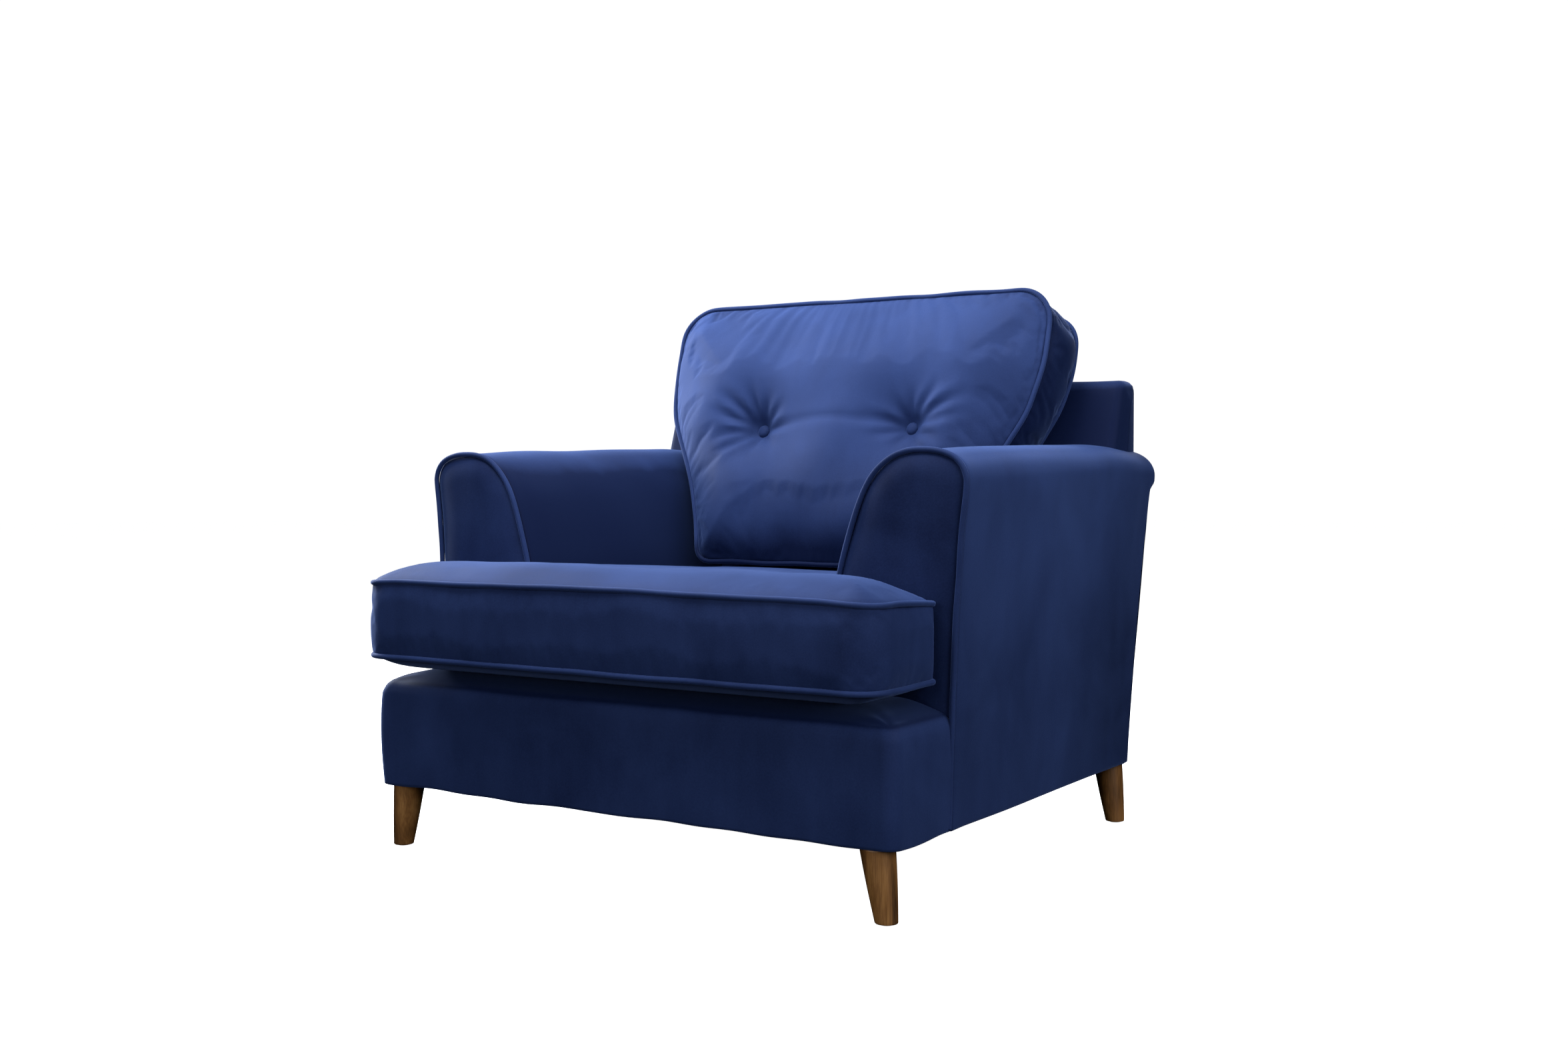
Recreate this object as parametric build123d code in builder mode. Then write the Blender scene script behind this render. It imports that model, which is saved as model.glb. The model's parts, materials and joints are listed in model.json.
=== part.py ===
from build123d import *
import os
from math import cos, radians, sin, tan

os.makedirs("parts", exist_ok=True)

# A velvet lounge armchair with rolled arms, a loose T-shaped seat cushion, a loose buttoned back
# cushion and four splayed legs. Millimetres, +Z up, front towards -Y, alike on both sides of X = 0.
# The origin is on the floor, under the middle of the chair's box. "right" means +X.

# Body
overall_depth = 955.0  # front of the seat cushion's piping to the back of the arm rolls
side_half_width = 478.0  # outer side face at its bottom edge
side_flare = 27.0  # how much further out the side is at the arm's shoulder
base_height = 101.0  # underside of the body above the floor
base_setback = 51.0  # front of the base behind the front limit
arm_setback = 214.0  # front of the arms behind the front limit
base_edge_height = 265.0  # top edge of the base's front and ends
deck_height = 289.0  # surface that the seat cushion lies on
deck_thickness = 27.0
base_corner_radius = 18.0
base_crown_margin = 70.0  # width of the slope from the base's edge up to its crown

# Arms
arm_height = 640.0  # crest at the arm's front
arm_rise = 22.0  # how much higher the crest is at the back
arm_inner_x = 276.0  # inner face of the arm at seat level
arm_shoulder_drop = 47.0  # widest point of the roll below the crest
arm_shoulder_turn = (13.0, 16.0)  # middle of the roll's outer turn: in from its widest, down from the crest
arm_flat_outer = 50.0  # flat of the crest: its two edges in from the shoulder
arm_flat_inner = 90.0
arm_inner_turn = (72.0, 38.0)  # inner side: out from the inner face, down from the crest
arm_inner_waist = (28.0, 144.0)
arm_inner_drop = 340.0  # where the inner side becomes upright, below the crest
arm_turn_inset = 0.7  # share of an inset that a turn moves each way
roll_end_rise = 16.0  # from the lip under the arm roll's end to where the end is furthest back
roll_end_turn = 50.0  # how far the rounded top corner reaches forward
roll_end_lift = 6.0  # the rounded corner meets the crest from this far above it
arm_panel_thickness = 17.0
arm_pad_depth = 25.0  # from the cover's surface to the timber

# Back
back_top = 770.0
back_half_width = 475.0
back_lean = radians(18.0)
back_foot_setback = 240.0  # inside back at deck level, in front of the rear limit
rear_foot_setback = 53.0  # outside back at its bottom edge, in front of the rear limit
rear_setback = 14.5  # outside back above the knee, in front of the rear limit
rear_knee_height = 500.0
rear_lip_height = 588.0  # where the arm rolls overhang the outside back
back_corner_radius = 20.0
back_pad_depth = 25.0
top_rail_height = 38.0
lower_rail_height = 70.0

# Seat cushion
seat_half_width = 467.0  # seam of the part in front of the arms
seat_lower_seam = 316.0
seat_upper_seam = 436.0
seat_top = 475.0  # crown above the front seam, before the rake lowers it
seat_rake = radians(3.5)  # the upper seam and the crown fall towards the back
seat_ear_setback = 193.5  # back seam of the ears behind the front limit
seat_crown_margin = 60.0
seat_front_radius = 44.0
seat_ear_radius = 18.0
seat_throat_radius = 14.0

# Back cushion
back_cushion_half_foot = 262.0
back_cushion_half_waist = 298.0
back_cushion_waist = 142.0  # distances up the lean from the cushion's foot
back_cushion_half_shoulder = 369.0
back_cushion_shoulder = 293.0
back_cushion_half_top = 383.0
back_cushion_length = 501.0
back_cushion_thickness = 124.0
back_cushion_crown = 45.0
back_cushion_rear_crown = 3.5
back_crown_margin = 85.0
back_cushion_rear_margin = 40.0
back_cushion_top_radius = 55.0
back_cushion_foot_radius = 22.0
button_radius = 11.5
button_height = 8.0
button_half_spacing = 155.0
button_rise = 248.0  # up the lean from the cushion's foot
button_proud = 12.0  # button's base in front of the seam
dimple_radius = 52.0
rear_button_sink = 8.0  # rear button's base in front of the rear seam
rear_button_height = 6.0

# Timber, springs and legs
board = 22.0
rail_bottom = 106.0
rail_top = 236.0
front_rail_setback = 13.0  # front timber behind the base's front
side_rail_setback = 14.0  # side timber inside the base's outer face
rear_board_setback = 14.0  # rear arm board in front of the rear rail
arm_rail_drop = 3.0  # arm rail below the end boards' tops
block_size = 62.0
block_height = 40.0
leg_front_x = 451.0
leg_rear_x = 461.0
leg_front_setback = 80.0
leg_rear_setback = 75.0
leg_splay = 14.0  # top of the leg further in than its foot
leg_foot_radius = 16.0
leg_top_radius = 25.0
glide_radius = 10.0
glide_height = 4.5
glide_recess = 3.0
bolt_radius = 4.0
bolt_length = 72.0
bolt_depth = 40.0  # length inside the leg
plate_width = 44.0
plate_length = 28.0
plate_thickness = 3.0
spring_count = 5
spring_spacing = 96.0
spring_wire_radius = 1.8
spring_half_swing = 24.0
spring_pitch = 26.0
spring_bend_radius = 10.0
clip_height = 8.0
clip_width = 14.0
clip_length = 16.0
web_count = 5
web_width = 50.0
web_thickness = 2.0

# Cloth, piping, zips and clearances
cover = 3.0
sheet = 1.5
piping_radius = 4.0
piping_proud = 2.0  # how far the arm piping stands out from the arm
gap = 0.5  # between pieces that move apart
seam_slack = 1.5  # between a curved seam and its piping
zip_length = 440.0
foot_zip_depth = 74.4  # back cushion's zip behind its front seam
zip_tape_width = 24.0
zip_tape_thickness = 1.0
zip_chain_width = 6.0
zip_chain_thickness = 2.0
slider_length = 14.0
slider_thickness = 3.0
slider_width = 10.0
slider_pull = 22.0
twine_radius = 1.0
twine_clearance = 0.2

front_limit = -overall_depth / 2
rear_limit = overall_depth / 2
base_front_y = front_limit + base_setback
arm_front_y = front_limit + arm_setback
rear_y = rear_limit - rear_setback
rear_foot_y = rear_limit - rear_foot_setback
back_foot_y = rear_limit - back_foot_setback
shoulder_x = side_half_width + side_flare
rail_outer_x = side_half_width - side_rail_setback
rail_front_y = base_front_y + front_rail_setback
base_front_end_y = arm_front_y - piping_radius
rail_rear_y = rear_foot_y - 2 * cover
plate_bottom = rail_bottom - plate_thickness


def front_plane(y):
    """Upright plane at depth y; a sketch on it uses X and Z."""
    return Plane.XZ.offset(-y)


def back_face_y(z):
    """Depth of the leaning inside back at a height."""
    return back_foot_y + (z - deck_height) * tan(back_lean)


def rear_face_y(z):
    """Depth of the outside back at a height: it leans up to the knee and is upright above it."""
    share = min(1.0, (z - base_height) / (rear_knee_height - base_height))
    return rear_foot_y + (rear_y - rear_foot_y) * share


def crest_height(y):
    """Height of the arm's crest at a depth."""
    return arm_height + arm_rise * (y - arm_front_y) / (rear_limit - arm_front_y)


def arm_outline(y, inset, bottom=base_height):
    """Right arm's cross-section at a depth: leaning outer side, roll, and a curved inner side."""
    crest = crest_height(y)
    outer_x = side_half_width - inset
    inner_x = arm_inner_x + inset
    slant = arm_turn_inset * inset
    flat_outer_x = shoulder_x - arm_flat_outer
    flat_inner_x = shoulder_x - arm_flat_inner
    shoulder = (shoulder_x - inset, crest - arm_shoulder_drop)
    shoulder_turn = (shoulder_x - arm_shoulder_turn[0] - slant, crest - arm_shoulder_turn[1] - slant)
    inner_turn = (arm_inner_x + arm_inner_turn[0] + slant, crest - arm_inner_turn[1] - slant)
    inner_foot = (inner_x, crest - arm_inner_drop)
    with BuildSketch(front_plane(y)) as outline:
        with BuildLine():
            Polyline(inner_foot, (inner_x, bottom), (outer_x, bottom), shoulder)
            ThreePointArc(shoulder, shoulder_turn, (flat_outer_x, crest - inset))
            Line((flat_outer_x, crest - inset), (flat_inner_x, crest - inset))
            Spline(
                (flat_inner_x, crest - inset),
                inner_turn,
                (inner_x + arm_inner_waist[0], crest - arm_inner_waist[1]),
                inner_foot,
                tangents=[(-1, 0), (0, -1)],
            )
        make_face()
    return outline.sketch


def arm_side_outline(inset):
    """Side view that trims the arm's back: leaning foot, overhanging roll end, rounded top corner."""
    roll_y = rear_limit - inset
    roll_end = (roll_y, rear_lip_height + roll_end_rise)
    roll_corner = (roll_y - roll_end_turn, crest_height(rear_limit) + roll_end_lift - inset)
    clear_z = 2 * arm_height
    with BuildSketch(Plane.YZ) as outline:
        with BuildLine():
            Polyline(
                roll_corner,
                (roll_corner[0], clear_z),
                (arm_front_y - 1, clear_z),
                (arm_front_y - 1, base_height - 1),
                (rear_foot_y - cover - inset, base_height - 1),
                (rear_y - cover - inset, rear_knee_height),
                (rear_y - cover - inset, rear_lip_height),
                roll_end,
            )
            TangentArc(roll_end, roll_corner, tangent=(0, 1))
        make_face()
    return outline.sketch


def arm_block(inset):
    """Solid right arm, a given distance inside its outer surface; open to a shell at front and bottom."""
    with BuildPart() as block:
        ends = [arm_outline(y, inset).face() for y in (arm_front_y, rear_limit + 1)]
        loft(ends, ruled=True)
        extrude(arm_side_outline(inset), amount=2 * side_half_width, both=True, mode=Mode.INTERSECT)
    return block


def cut_box(low, high):
    """Cut a box, given by two corners, from the current part."""
    size = [b - a for a, b in zip(low, high)]
    middle = tuple((a + b) / 2 for a, b in zip(low, high))
    with Locations(middle):
        Box(*size, mode=Mode.SUBTRACT)


def add_box(low, high):
    """Add a box, given by two corners, to the current part."""
    size = [b - a for a, b in zip(low, high)]
    middle = tuple((a + b) / 2 for a, b in zip(low, high))
    with Locations(middle):
        Box(*size)


def write_both_sides(name, right):
    """Label and write a right-hand piece and its mirror image."""
    right.part.label = f"{name}_right"
    export_step(right.part, f"parts/{name}_right.step")
    with BuildPart() as left:
        mirror(right.part, about=Plane.YZ)
    left.part.label = f"{name}_left"
    export_step(left.part, f"parts/{name}_left.step")


# Arm covers: a skin over the roll, down the outside to the base's edge and down the inside to the deck
deck_bottom = deck_height - deck_thickness
arm_solid = arm_block(0)
with BuildPart() as arm_cover:
    add(arm_solid.part)
    add(arm_block(cover).part, mode=Mode.SUBTRACT)
    cut_box((0, arm_front_y - 1, 0), (2 * shoulder_x, arm_front_y + piping_radius, 2 * arm_height))
    cut_box((0, front_limit, 0), (side_half_width - 2 * cover, 2 * rear_limit, deck_bottom))
write_both_sides("arm_cover", arm_cover)

# Arm pads: foam and wadding between the cover and the timber
board_front_y = arm_front_y + arm_panel_thickness
with BuildPart() as arm_pad:
    add(arm_block(cover).part)
    add(arm_block(arm_pad_depth).part, mode=Mode.SUBTRACT)
    cut_box((0, arm_front_y - 1, 0), (2 * shoulder_x, board_front_y, 2 * arm_height))
    cut_box((0, front_limit, 0), (2 * shoulder_x, 2 * rear_limit, deck_bottom))
write_both_sides("arm_pad", arm_pad)

# Arm front panels: padded panels inside the piping
panel_inset = 2 * piping_radius - piping_proud + gap + seam_slack
with BuildPart() as arm_front_panel:
    extrude(arm_outline(arm_front_y, panel_inset, bottom=deck_bottom), amount=-arm_panel_thickness)
write_both_sides("arm_front_panel", arm_front_panel)

# Arm piping: up the outer seam from the base's edge, over the roll and down to the deck
piping_inset = piping_radius - piping_proud
arm_edges = arm_outline(arm_front_y, piping_inset).edges().sort_by(Axis.Z)
arm_seam = Wire(arm_edges[2:])  # without the foot and the lower inside
with BuildPart() as arm_piping:
    with BuildSketch(Plane(origin=arm_seam @ 0, z_dir=arm_seam % 0)):
        Circle(piping_radius)
    sweep(path=arm_seam)
write_both_sides("arm_piping", arm_piping)

# Arm timber: a board at each end of the arm and a rail under its crest, standing on the side rail
front_board_back_y = board_front_y + board
rear_board_y = rail_rear_y - board - rear_board_setback
with BuildPart() as arm_front_board:
    extrude(arm_outline(board_front_y, arm_pad_depth, bottom=rail_top), amount=-board)
write_both_sides("arm_front_board", arm_front_board)
with BuildPart() as arm_rear_board:
    extrude(arm_outline(rear_board_y, arm_pad_depth, bottom=rail_top), amount=-board)
write_both_sides("arm_rear_board", arm_rear_board)
with BuildPart() as arm_top_rail:
    rail_crest = arm_height - arm_pad_depth - arm_rail_drop
    add_box(
        (shoulder_x - arm_flat_inner, front_board_back_y, rail_crest - board),
        (shoulder_x - arm_flat_outer, rear_board_y, rail_crest),
    )
write_both_sides("arm_top_rail", arm_top_rail)

# Base timber: four rails on edge, with a glued block in each corner that takes the leg
with BuildPart() as side_rail:
    add_box(
        (rail_outer_x - board, rail_front_y + board, rail_bottom),
        (rail_outer_x, rail_rear_y - board, rail_top),
    )
write_both_sides("side_rail", side_rail)

leg_front_y = front_limit + leg_front_setback
leg_rear_y = rear_limit - leg_rear_setback
leg_feet = {
    "front_right": (leg_front_x, leg_front_y),
    "front_left": (-leg_front_x, leg_front_y),
    "rear_right": (leg_rear_x, leg_rear_y),
    "rear_left": (-leg_rear_x, leg_rear_y),
}


def leg_top_x(foot_x):
    """Middle of the leg's top: splayed legs stand further out than they are fixed."""
    return foot_x - leg_splay if foot_x > 0 else foot_x + leg_splay


leg_tops = [(leg_top_x(x), y) for x, y in leg_feet.values()]
bolt_top = plate_bottom - bolt_depth + bolt_length


def cut_bolt_holes():
    """Drill the current part where the four leg bolts pass through it."""
    with Locations([(x, y, bolt_top - bolt_length / 2) for x, y in leg_tops]):
        Cylinder(bolt_radius, bolt_length, mode=Mode.SUBTRACT)


with BuildPart() as front_rail:
    add_box((-rail_outer_x, rail_front_y, rail_bottom), (rail_outer_x, rail_front_y + board, rail_top))
    cut_bolt_holes()
front_rail.part.label = "front_rail"
export_step(front_rail.part, "parts/front_rail.step")
with BuildPart() as rear_rail:
    add_box((-rail_outer_x, rail_rear_y - board, rail_bottom), (rail_outer_x, rail_rear_y, rail_top))
    cut_bolt_holes()
rear_rail.part.label = "rear_rail"
export_step(rear_rail.part, "parts/rear_rail.step")

# Glued blocks stiffen the inner corners of the rails
block_x = rail_outer_x - board - block_size / 2
block_rows = (rail_front_y + board + block_size / 2, rail_rear_y - board - block_size / 2)
with BuildPart() as corner_blocks:
    block_z = rail_bottom + block_height / 2
    with Locations([(x, y, block_z) for x in (-block_x, block_x) for y in block_rows]):
        Box(block_size, block_size, block_height)
corner_blocks.part.label = "corner_blocks"
export_step(corner_blocks.part, "parts/corner_blocks.step")

# Steel plates under the rails, one above each leg
with BuildPart() as leg_plates:
    with Locations([(x, y, plate_bottom + plate_thickness / 2) for x, y in leg_tops]):
        Box(plate_width, plate_length, plate_thickness)
    cut_bolt_holes()
leg_plates.part.label = "leg_plates"
export_step(leg_plates.part, "parts/leg_plates.step")

# Hanger bolts: upright, from the leg through its plate into the rail
with BuildPart() as leg_bolts:
    with Locations([(x, y, bolt_top - bolt_length / 2) for x, y in leg_tops]):
        Cylinder(bolt_radius, bolt_length)
leg_bolts.part.label = "leg_bolts"
export_step(leg_bolts.part, "parts/leg_bolts.step")

# Legs: round, tapered and splayed sideways, with a recess for the glide and a hole for the bolt
leg_bottom = glide_height - glide_recess
for name, (foot_x, foot_y) in leg_feet.items():
    top_x = leg_top_x(foot_x)
    with BuildPart() as leg:
        with BuildSketch(Plane.XY.offset(leg_bottom)):
            with Locations((foot_x, foot_y)):
                Circle(leg_foot_radius)
        with BuildSketch(Plane.XY.offset(plate_bottom)):
            with Locations((top_x, foot_y)):
                Circle(leg_top_radius)
        loft(ruled=True)
        with Locations((foot_x, foot_y, glide_height / 2)):
            Cylinder(glide_radius, glide_height, mode=Mode.SUBTRACT)
        cut_bolt_holes()
    leg.part.label = f"leg_{name}"
    export_step(leg.part, f"parts/leg_{name}.step")

# Nylon glides under the legs
with BuildPart() as leg_glides:
    with Locations([(x, y, glide_height / 2) for x, y in leg_feet.values()]):
        Cylinder(glide_radius, glide_height)
leg_glides.part.label = "leg_glides"
export_step(leg_glides.part, "parts/leg_glides.step")


# Base front: the part that stands in front of the arms, with rounded corners and a crowned top
def base_front_block(inset, low=base_height):
    """Solid of the base's front part, a given distance inside its outer surface."""
    levels = ((low, 0), (base_edge_height - inset, 0), (deck_height - inset, base_crown_margin))
    with BuildPart() as block:
        for height, margin in levels:
            half_width = side_half_width - inset - margin
            front = base_front_y + inset + margin
            radius = base_corner_radius - inset
            with BuildSketch(Plane.XY.offset(height)):
                with BuildLine():
                    Polyline(
                        (-half_width, front + radius),
                        (-half_width, base_front_end_y),
                        (half_width, base_front_end_y),
                        (half_width, front + radius),
                    )
                    RadiusArc((half_width, front + radius), (half_width - radius, front), radius)
                    Line((half_width - radius, front), (-half_width + radius, front))
                    RadiusArc((-half_width + radius, front), (-half_width, front + radius), radius)
                make_face()
        loft(ruled=True)
    return block


with BuildPart() as base_front_cover:
    add(base_front_block(0).part)
    add(base_front_block(cover).part, mode=Mode.SUBTRACT)
base_front_cover.part.label = "base_front_cover"
export_step(base_front_cover.part, "parts/base_front_cover.step")

with BuildPart() as base_front_pad:
    add(base_front_block(cover, low=rail_bottom).part)
    cut_box((-rail_outer_x, rail_front_y, 0), (rail_outer_x, arm_front_y + 1, rail_top))
    cut_box((-arm_inner_x, rail_front_y, 0), (arm_inner_x, arm_front_y + 1, deck_bottom))
base_front_pad.part.label = "base_front_pad"
export_step(base_front_pad.part, "parts/base_front_pad.step")

# Suspension: zigzag springs from the front rail to the rear rail, each end held in a clip
spring_z = rail_top + clip_height / 2
spring_front_y = rail_front_y + board / 2
spring_rear_y = rail_rear_y - board / 2
spring_lead = 2 * board
swing_count = 2 * int((spring_rear_y - spring_front_y - 2 * spring_lead) / (2 * spring_pitch))
swing_start = -swing_count * spring_pitch / 2 + (spring_front_y + spring_rear_y) / 2
spring_columns = [(i - (spring_count - 1) / 2) * spring_spacing for i in range(spring_count)]
with BuildPart() as seat_springs:
    for column in spring_columns:
        turns = [(column, spring_front_y), (column, swing_start)]
        for i in range(swing_count):
            side = 1 if i % 2 == 0 else -1
            turns.append((column + side * spring_half_swing, swing_start + i * spring_pitch))
            turns.append((column + side * spring_half_swing, swing_start + (i + 1) * spring_pitch))
        turns += [(column, swing_start + swing_count * spring_pitch), (column, spring_rear_y)]
        with BuildLine(Plane.XY.offset(spring_z)) as spring_path:
            FilletPolyline(*turns, radius=spring_bend_radius)
        with BuildSketch(front_plane(spring_front_y)):
            with Locations((column, spring_z)):
                Circle(spring_wire_radius)
        sweep(path=spring_path.wire())
seat_springs.part.label = "seat_springs"
export_step(seat_springs.part, "parts/seat_springs.step")

with BuildPart() as spring_clips:
    for y in (spring_front_y, spring_rear_y):
        with Locations([(column, y, spring_z) for column in spring_columns]):
            Box(clip_width, clip_length, clip_height)
            Cylinder(spring_wire_radius, board, rotation=(90, 0, 0), mode=Mode.SUBTRACT)
spring_clips.part.label = "spring_clips"
export_step(spring_clips.part, "parts/spring_clips.step")

# Deck: a woven sheet on the springs and the padded platform that the seat cushion lies on
deck_rear_y = back_face_y(deck_bottom)
with BuildPart() as deck_pad:
    deck_half_width = arm_inner_x - 2 * cover
    add_box(
        (-deck_half_width, base_front_end_y, deck_bottom),
        (deck_half_width, deck_rear_y, deck_height),
    )
deck_pad.part.label = "deck_pad"
export_step(deck_pad.part, "parts/deck_pad.step")
with BuildPart() as spring_sheet:
    add_box(
        (-arm_inner_x, rail_front_y, deck_bottom - sheet),
        (arm_inner_x, deck_rear_y, deck_bottom),
    )
spring_sheet.part.label = "spring_sheet"
export_step(spring_sheet.part, "parts/spring_sheet.step")


# Back: a leaning inside face, an upright outside face, full width above the arms
def back_side_outline(plane, front_inset, rear_inset, low, top):
    """Side view of the back between two heights, inside its front and rear faces by two insets."""
    with BuildSketch(plane) as outline:
        with BuildLine():
            Polyline(
                (back_face_y(low) + front_inset, low),
                (back_face_y(top) + front_inset, top),
                (rear_y - rear_inset, top),
                (rear_y - rear_inset, rear_knee_height),
                (rear_face_y(low) - rear_inset, low),
                close=True,
            )
        make_face()
    return outline.sketch


def back_block(front_inset, rear_inset, edge_inset, low):
    """Solid of the back with its ends and top inset too, cut where the arms pass it."""
    half_width = back_half_width - edge_inset
    with BuildPart() as block:
        side = back_side_outline(Plane.YZ, front_inset, rear_inset, low, back_top - edge_inset)
        extrude(side, amount=half_width, both=True)
        with BuildSketch(front_plane(2 * rear_limit)):
            RectangleRounded(2 * half_width, 2 * (back_top - edge_inset), back_corner_radius)
        extrude(amount=4 * rear_limit, mode=Mode.INTERSECT)
        cut_arms()
    return block


def cut_arms():
    """Cut both arms' outer shapes from the current part."""
    add(arm_solid.part, mode=Mode.SUBTRACT)
    mirror(arm_solid.part, about=Plane.YZ, mode=Mode.SUBTRACT)


with BuildPart() as inside_back_cover:
    add(back_block(0, cover, 0, deck_bottom).part)
    add(back_block(cover, cover - 1, cover, deck_bottom - 1).part, mode=Mode.SUBTRACT)
inside_back_cover.part.label = "inside_back_cover"
export_step(inside_back_cover.part, "parts/inside_back_cover.step")

with BuildPart() as back_pad:
    add(back_block(cover, cover, cover, deck_bottom).part)
    add(back_block(back_pad_depth, cover - 1, back_pad_depth, deck_bottom - 1).part, mode=Mode.SUBTRACT)
back_pad.part.label = "back_pad"
export_step(back_pad.part, "parts/back_pad.step")

# Outside back: one panel from the base's edge to the top, under the overhanging arm rolls
with BuildPart() as outside_back_panel:
    with BuildSketch(Plane.YZ):
        with BuildLine():
            Polyline(
                (rear_face_y(plate_bottom) - cover, plate_bottom),
                (rear_y - cover, rear_knee_height),
                (rear_y - cover, back_top - cover),
                (rear_y, back_top - cover),
                (rear_y, rear_knee_height),
                (rear_face_y(plate_bottom), plate_bottom),
                close=True,
            )
        make_face()
    extrude(amount=2 * side_half_width, both=True)
    with BuildSketch(front_plane(2 * rear_limit)):
        with BuildLine():
            FilletPolyline(
                (side_half_width - cover, base_height - 1),
                (shoulder_x - 3 * cover, rear_lip_height),
                (back_half_width - cover, rear_lip_height),
                (back_half_width - cover, back_top),
                (cover - back_half_width, back_top),
                (cover - back_half_width, rear_lip_height),
                (3 * cover - shoulder_x, rear_lip_height),
                (cover - side_half_width, base_height - 1),
                radius=cover,
                close=True,
            )
        make_face()
    extrude(amount=4 * rear_limit, mode=Mode.INTERSECT)
    cut_arms()
outside_back_panel.part.label = "outside_back_panel"
export_step(outside_back_panel.part, "parts/outside_back_panel.step")

# Back timber and webbing: two leaning posts with a rail on them, a lower rail, and straps in front
post_front_inset = back_pad_depth + web_thickness / cos(back_lean)
post_outer_x = arm_inner_x - 2 * cover
post_top = back_top - back_pad_depth - top_rail_height
with BuildPart() as back_post:
    post_plane = Plane.YZ.offset(post_outer_x - board)
    extrude(back_side_outline(post_plane, post_front_inset, 2 * cover, rail_top, post_top), amount=board)
write_both_sides("back_post", back_post)
with BuildPart() as back_top_rail:
    top_rail_top = back_top - back_pad_depth
    top_rail_half = back_half_width - 2 * back_pad_depth
    add_box(
        (-top_rail_half, back_face_y(top_rail_top) + post_front_inset, post_top),
        (top_rail_half, rear_y - 2 * cover, top_rail_top),
    )
back_top_rail.part.label = "back_top_rail"
export_step(back_top_rail.part, "parts/back_top_rail.step")
with BuildPart() as back_lower_rail:
    lower_rail_top = deck_height + lower_rail_height
    lower_rail_front = back_face_y(lower_rail_top) + post_front_inset
    add_box(
        (board - post_outer_x, lower_rail_front, deck_height),
        (post_outer_x - board, lower_rail_front + board, lower_rail_top),
    )
back_lower_rail.part.label = "back_lower_rail"
export_step(back_lower_rail.part, "parts/back_lower_rail.step")

web_middle_z = (deck_height + post_top) / 2
web_pitch = (post_top - deck_height) / cos(back_lean) / web_count
web_plane = Plane(
    origin=(0, back_face_y(web_middle_z) + post_front_inset, web_middle_z),
    x_dir=(1, 0, 0),
    z_dir=(0, -cos(back_lean), sin(back_lean)),
)
with BuildPart() as back_webbing:
    with BuildSketch(web_plane):
        with GridLocations(0, web_pitch, 1, web_count):
            Rectangle(2 * post_outer_x, web_width)
    extrude(amount=web_thickness)
back_webbing.part.label = "back_webbing"
export_step(back_webbing.part, "parts/back_webbing.step")

# Dust cover: a black sheet under the seat, cut away around the legs
with BuildPart() as dust_cover:
    add_box((-rail_outer_x, rail_front_y, base_height), (rail_outer_x, rail_rear_y, base_height + sheet))
    with Locations([(x, y, base_height) for x, y in leg_tops]):
        Cylinder(leg_top_radius + 1, 4 * sheet, mode=Mode.SUBTRACT)
dust_cover.part.label = "dust_cover"
export_step(dust_cover.part, "parts/dust_cover.step")


# Seat cushion: T-shaped, its ears in front of the arms, with a border between two piped seams
seat_front_y = front_limit + 2 * piping_radius + gap
seat_ear_y = front_limit + seat_ear_setback
seat_throat_x = arm_inner_x - piping_proud - gap - 2 * piping_radius
seat_rear_y = back_face_y(seat_lower_seam - piping_radius) - gap - 2 * piping_radius


def seat_plane(height, rake):
    """Plane through the cushion's front seam line at a height, falling towards the back."""
    return Plane(origin=(0, seat_front_y, height), x_dir=(1, 0, 0), z_dir=(0, sin(rake), cos(rake)))


def seat_outline(height, inset, rake):
    """T-shaped plan of the seat cushion; a negative inset lies outside its seam."""
    half_width = seat_half_width - inset
    throat = seat_throat_x - inset
    ear = seat_ear_y - seat_front_y - inset
    right_half = [
        (half_width, inset),
        (half_width, ear),
        (throat, ear),
        (throat, seat_rear_y - seat_front_y - inset),
    ]
    left_half = [(-x, y) for x, y in reversed(right_half)]
    radii = [seat_front_radius, seat_ear_radius, seat_throat_radius, seat_ear_radius]
    with BuildSketch(seat_plane(height, rake)) as outline:
        with BuildLine():
            FilletPolyline(*right_half, *left_half, radius=radii + radii[::-1], close=True)
        make_face()
    return outline.sketch


def seat_block(inset):
    """Solid seat cushion, a given distance inside its cover."""
    with BuildPart() as block:
        levels = (
            (deck_height + gap + inset, seat_crown_margin, 0),
            (seat_lower_seam, inset, 0),
            (seat_upper_seam, inset, seat_rake),
            (seat_top - inset, seat_crown_margin, seat_rake),
        )
        loft([seat_outline(*level).face() for level in levels], ruled=True)
    return block


def sweep_piping(outline):
    """Sweep the piping's round section along an outline's edge."""
    path = outline.face().outer_wire()
    with BuildPart() as piping:
        with BuildSketch(Plane(origin=path @ 0, z_dir=path % 0)):
            Circle(piping_radius)
        sweep(path=path)
    return piping


with BuildPart() as seat_cushion_foam:
    add(seat_block(cover).part)
seat_cushion_foam.part.label = "seat_cushion_foam"
export_step(seat_cushion_foam.part, "parts/seat_cushion_foam.step")
with BuildPart() as seat_cushion_cover:
    add(seat_block(0).part)
    add(seat_block(cover).part, mode=Mode.SUBTRACT)
seat_cushion_cover.part.label = "seat_cushion_cover"
export_step(seat_cushion_cover.part, "parts/seat_cushion_cover.step")
seat_piping_top = sweep_piping(seat_outline(seat_upper_seam, -piping_radius - gap, seat_rake))
seat_piping_top.part.label = "seat_piping_top"
export_step(seat_piping_top.part, "parts/seat_piping_top.step")
seat_piping_bottom = sweep_piping(seat_outline(seat_lower_seam, -piping_radius, 0))
seat_piping_bottom.part.label = "seat_piping_bottom"
export_step(seat_piping_bottom.part, "parts/seat_piping_bottom.step")


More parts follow.
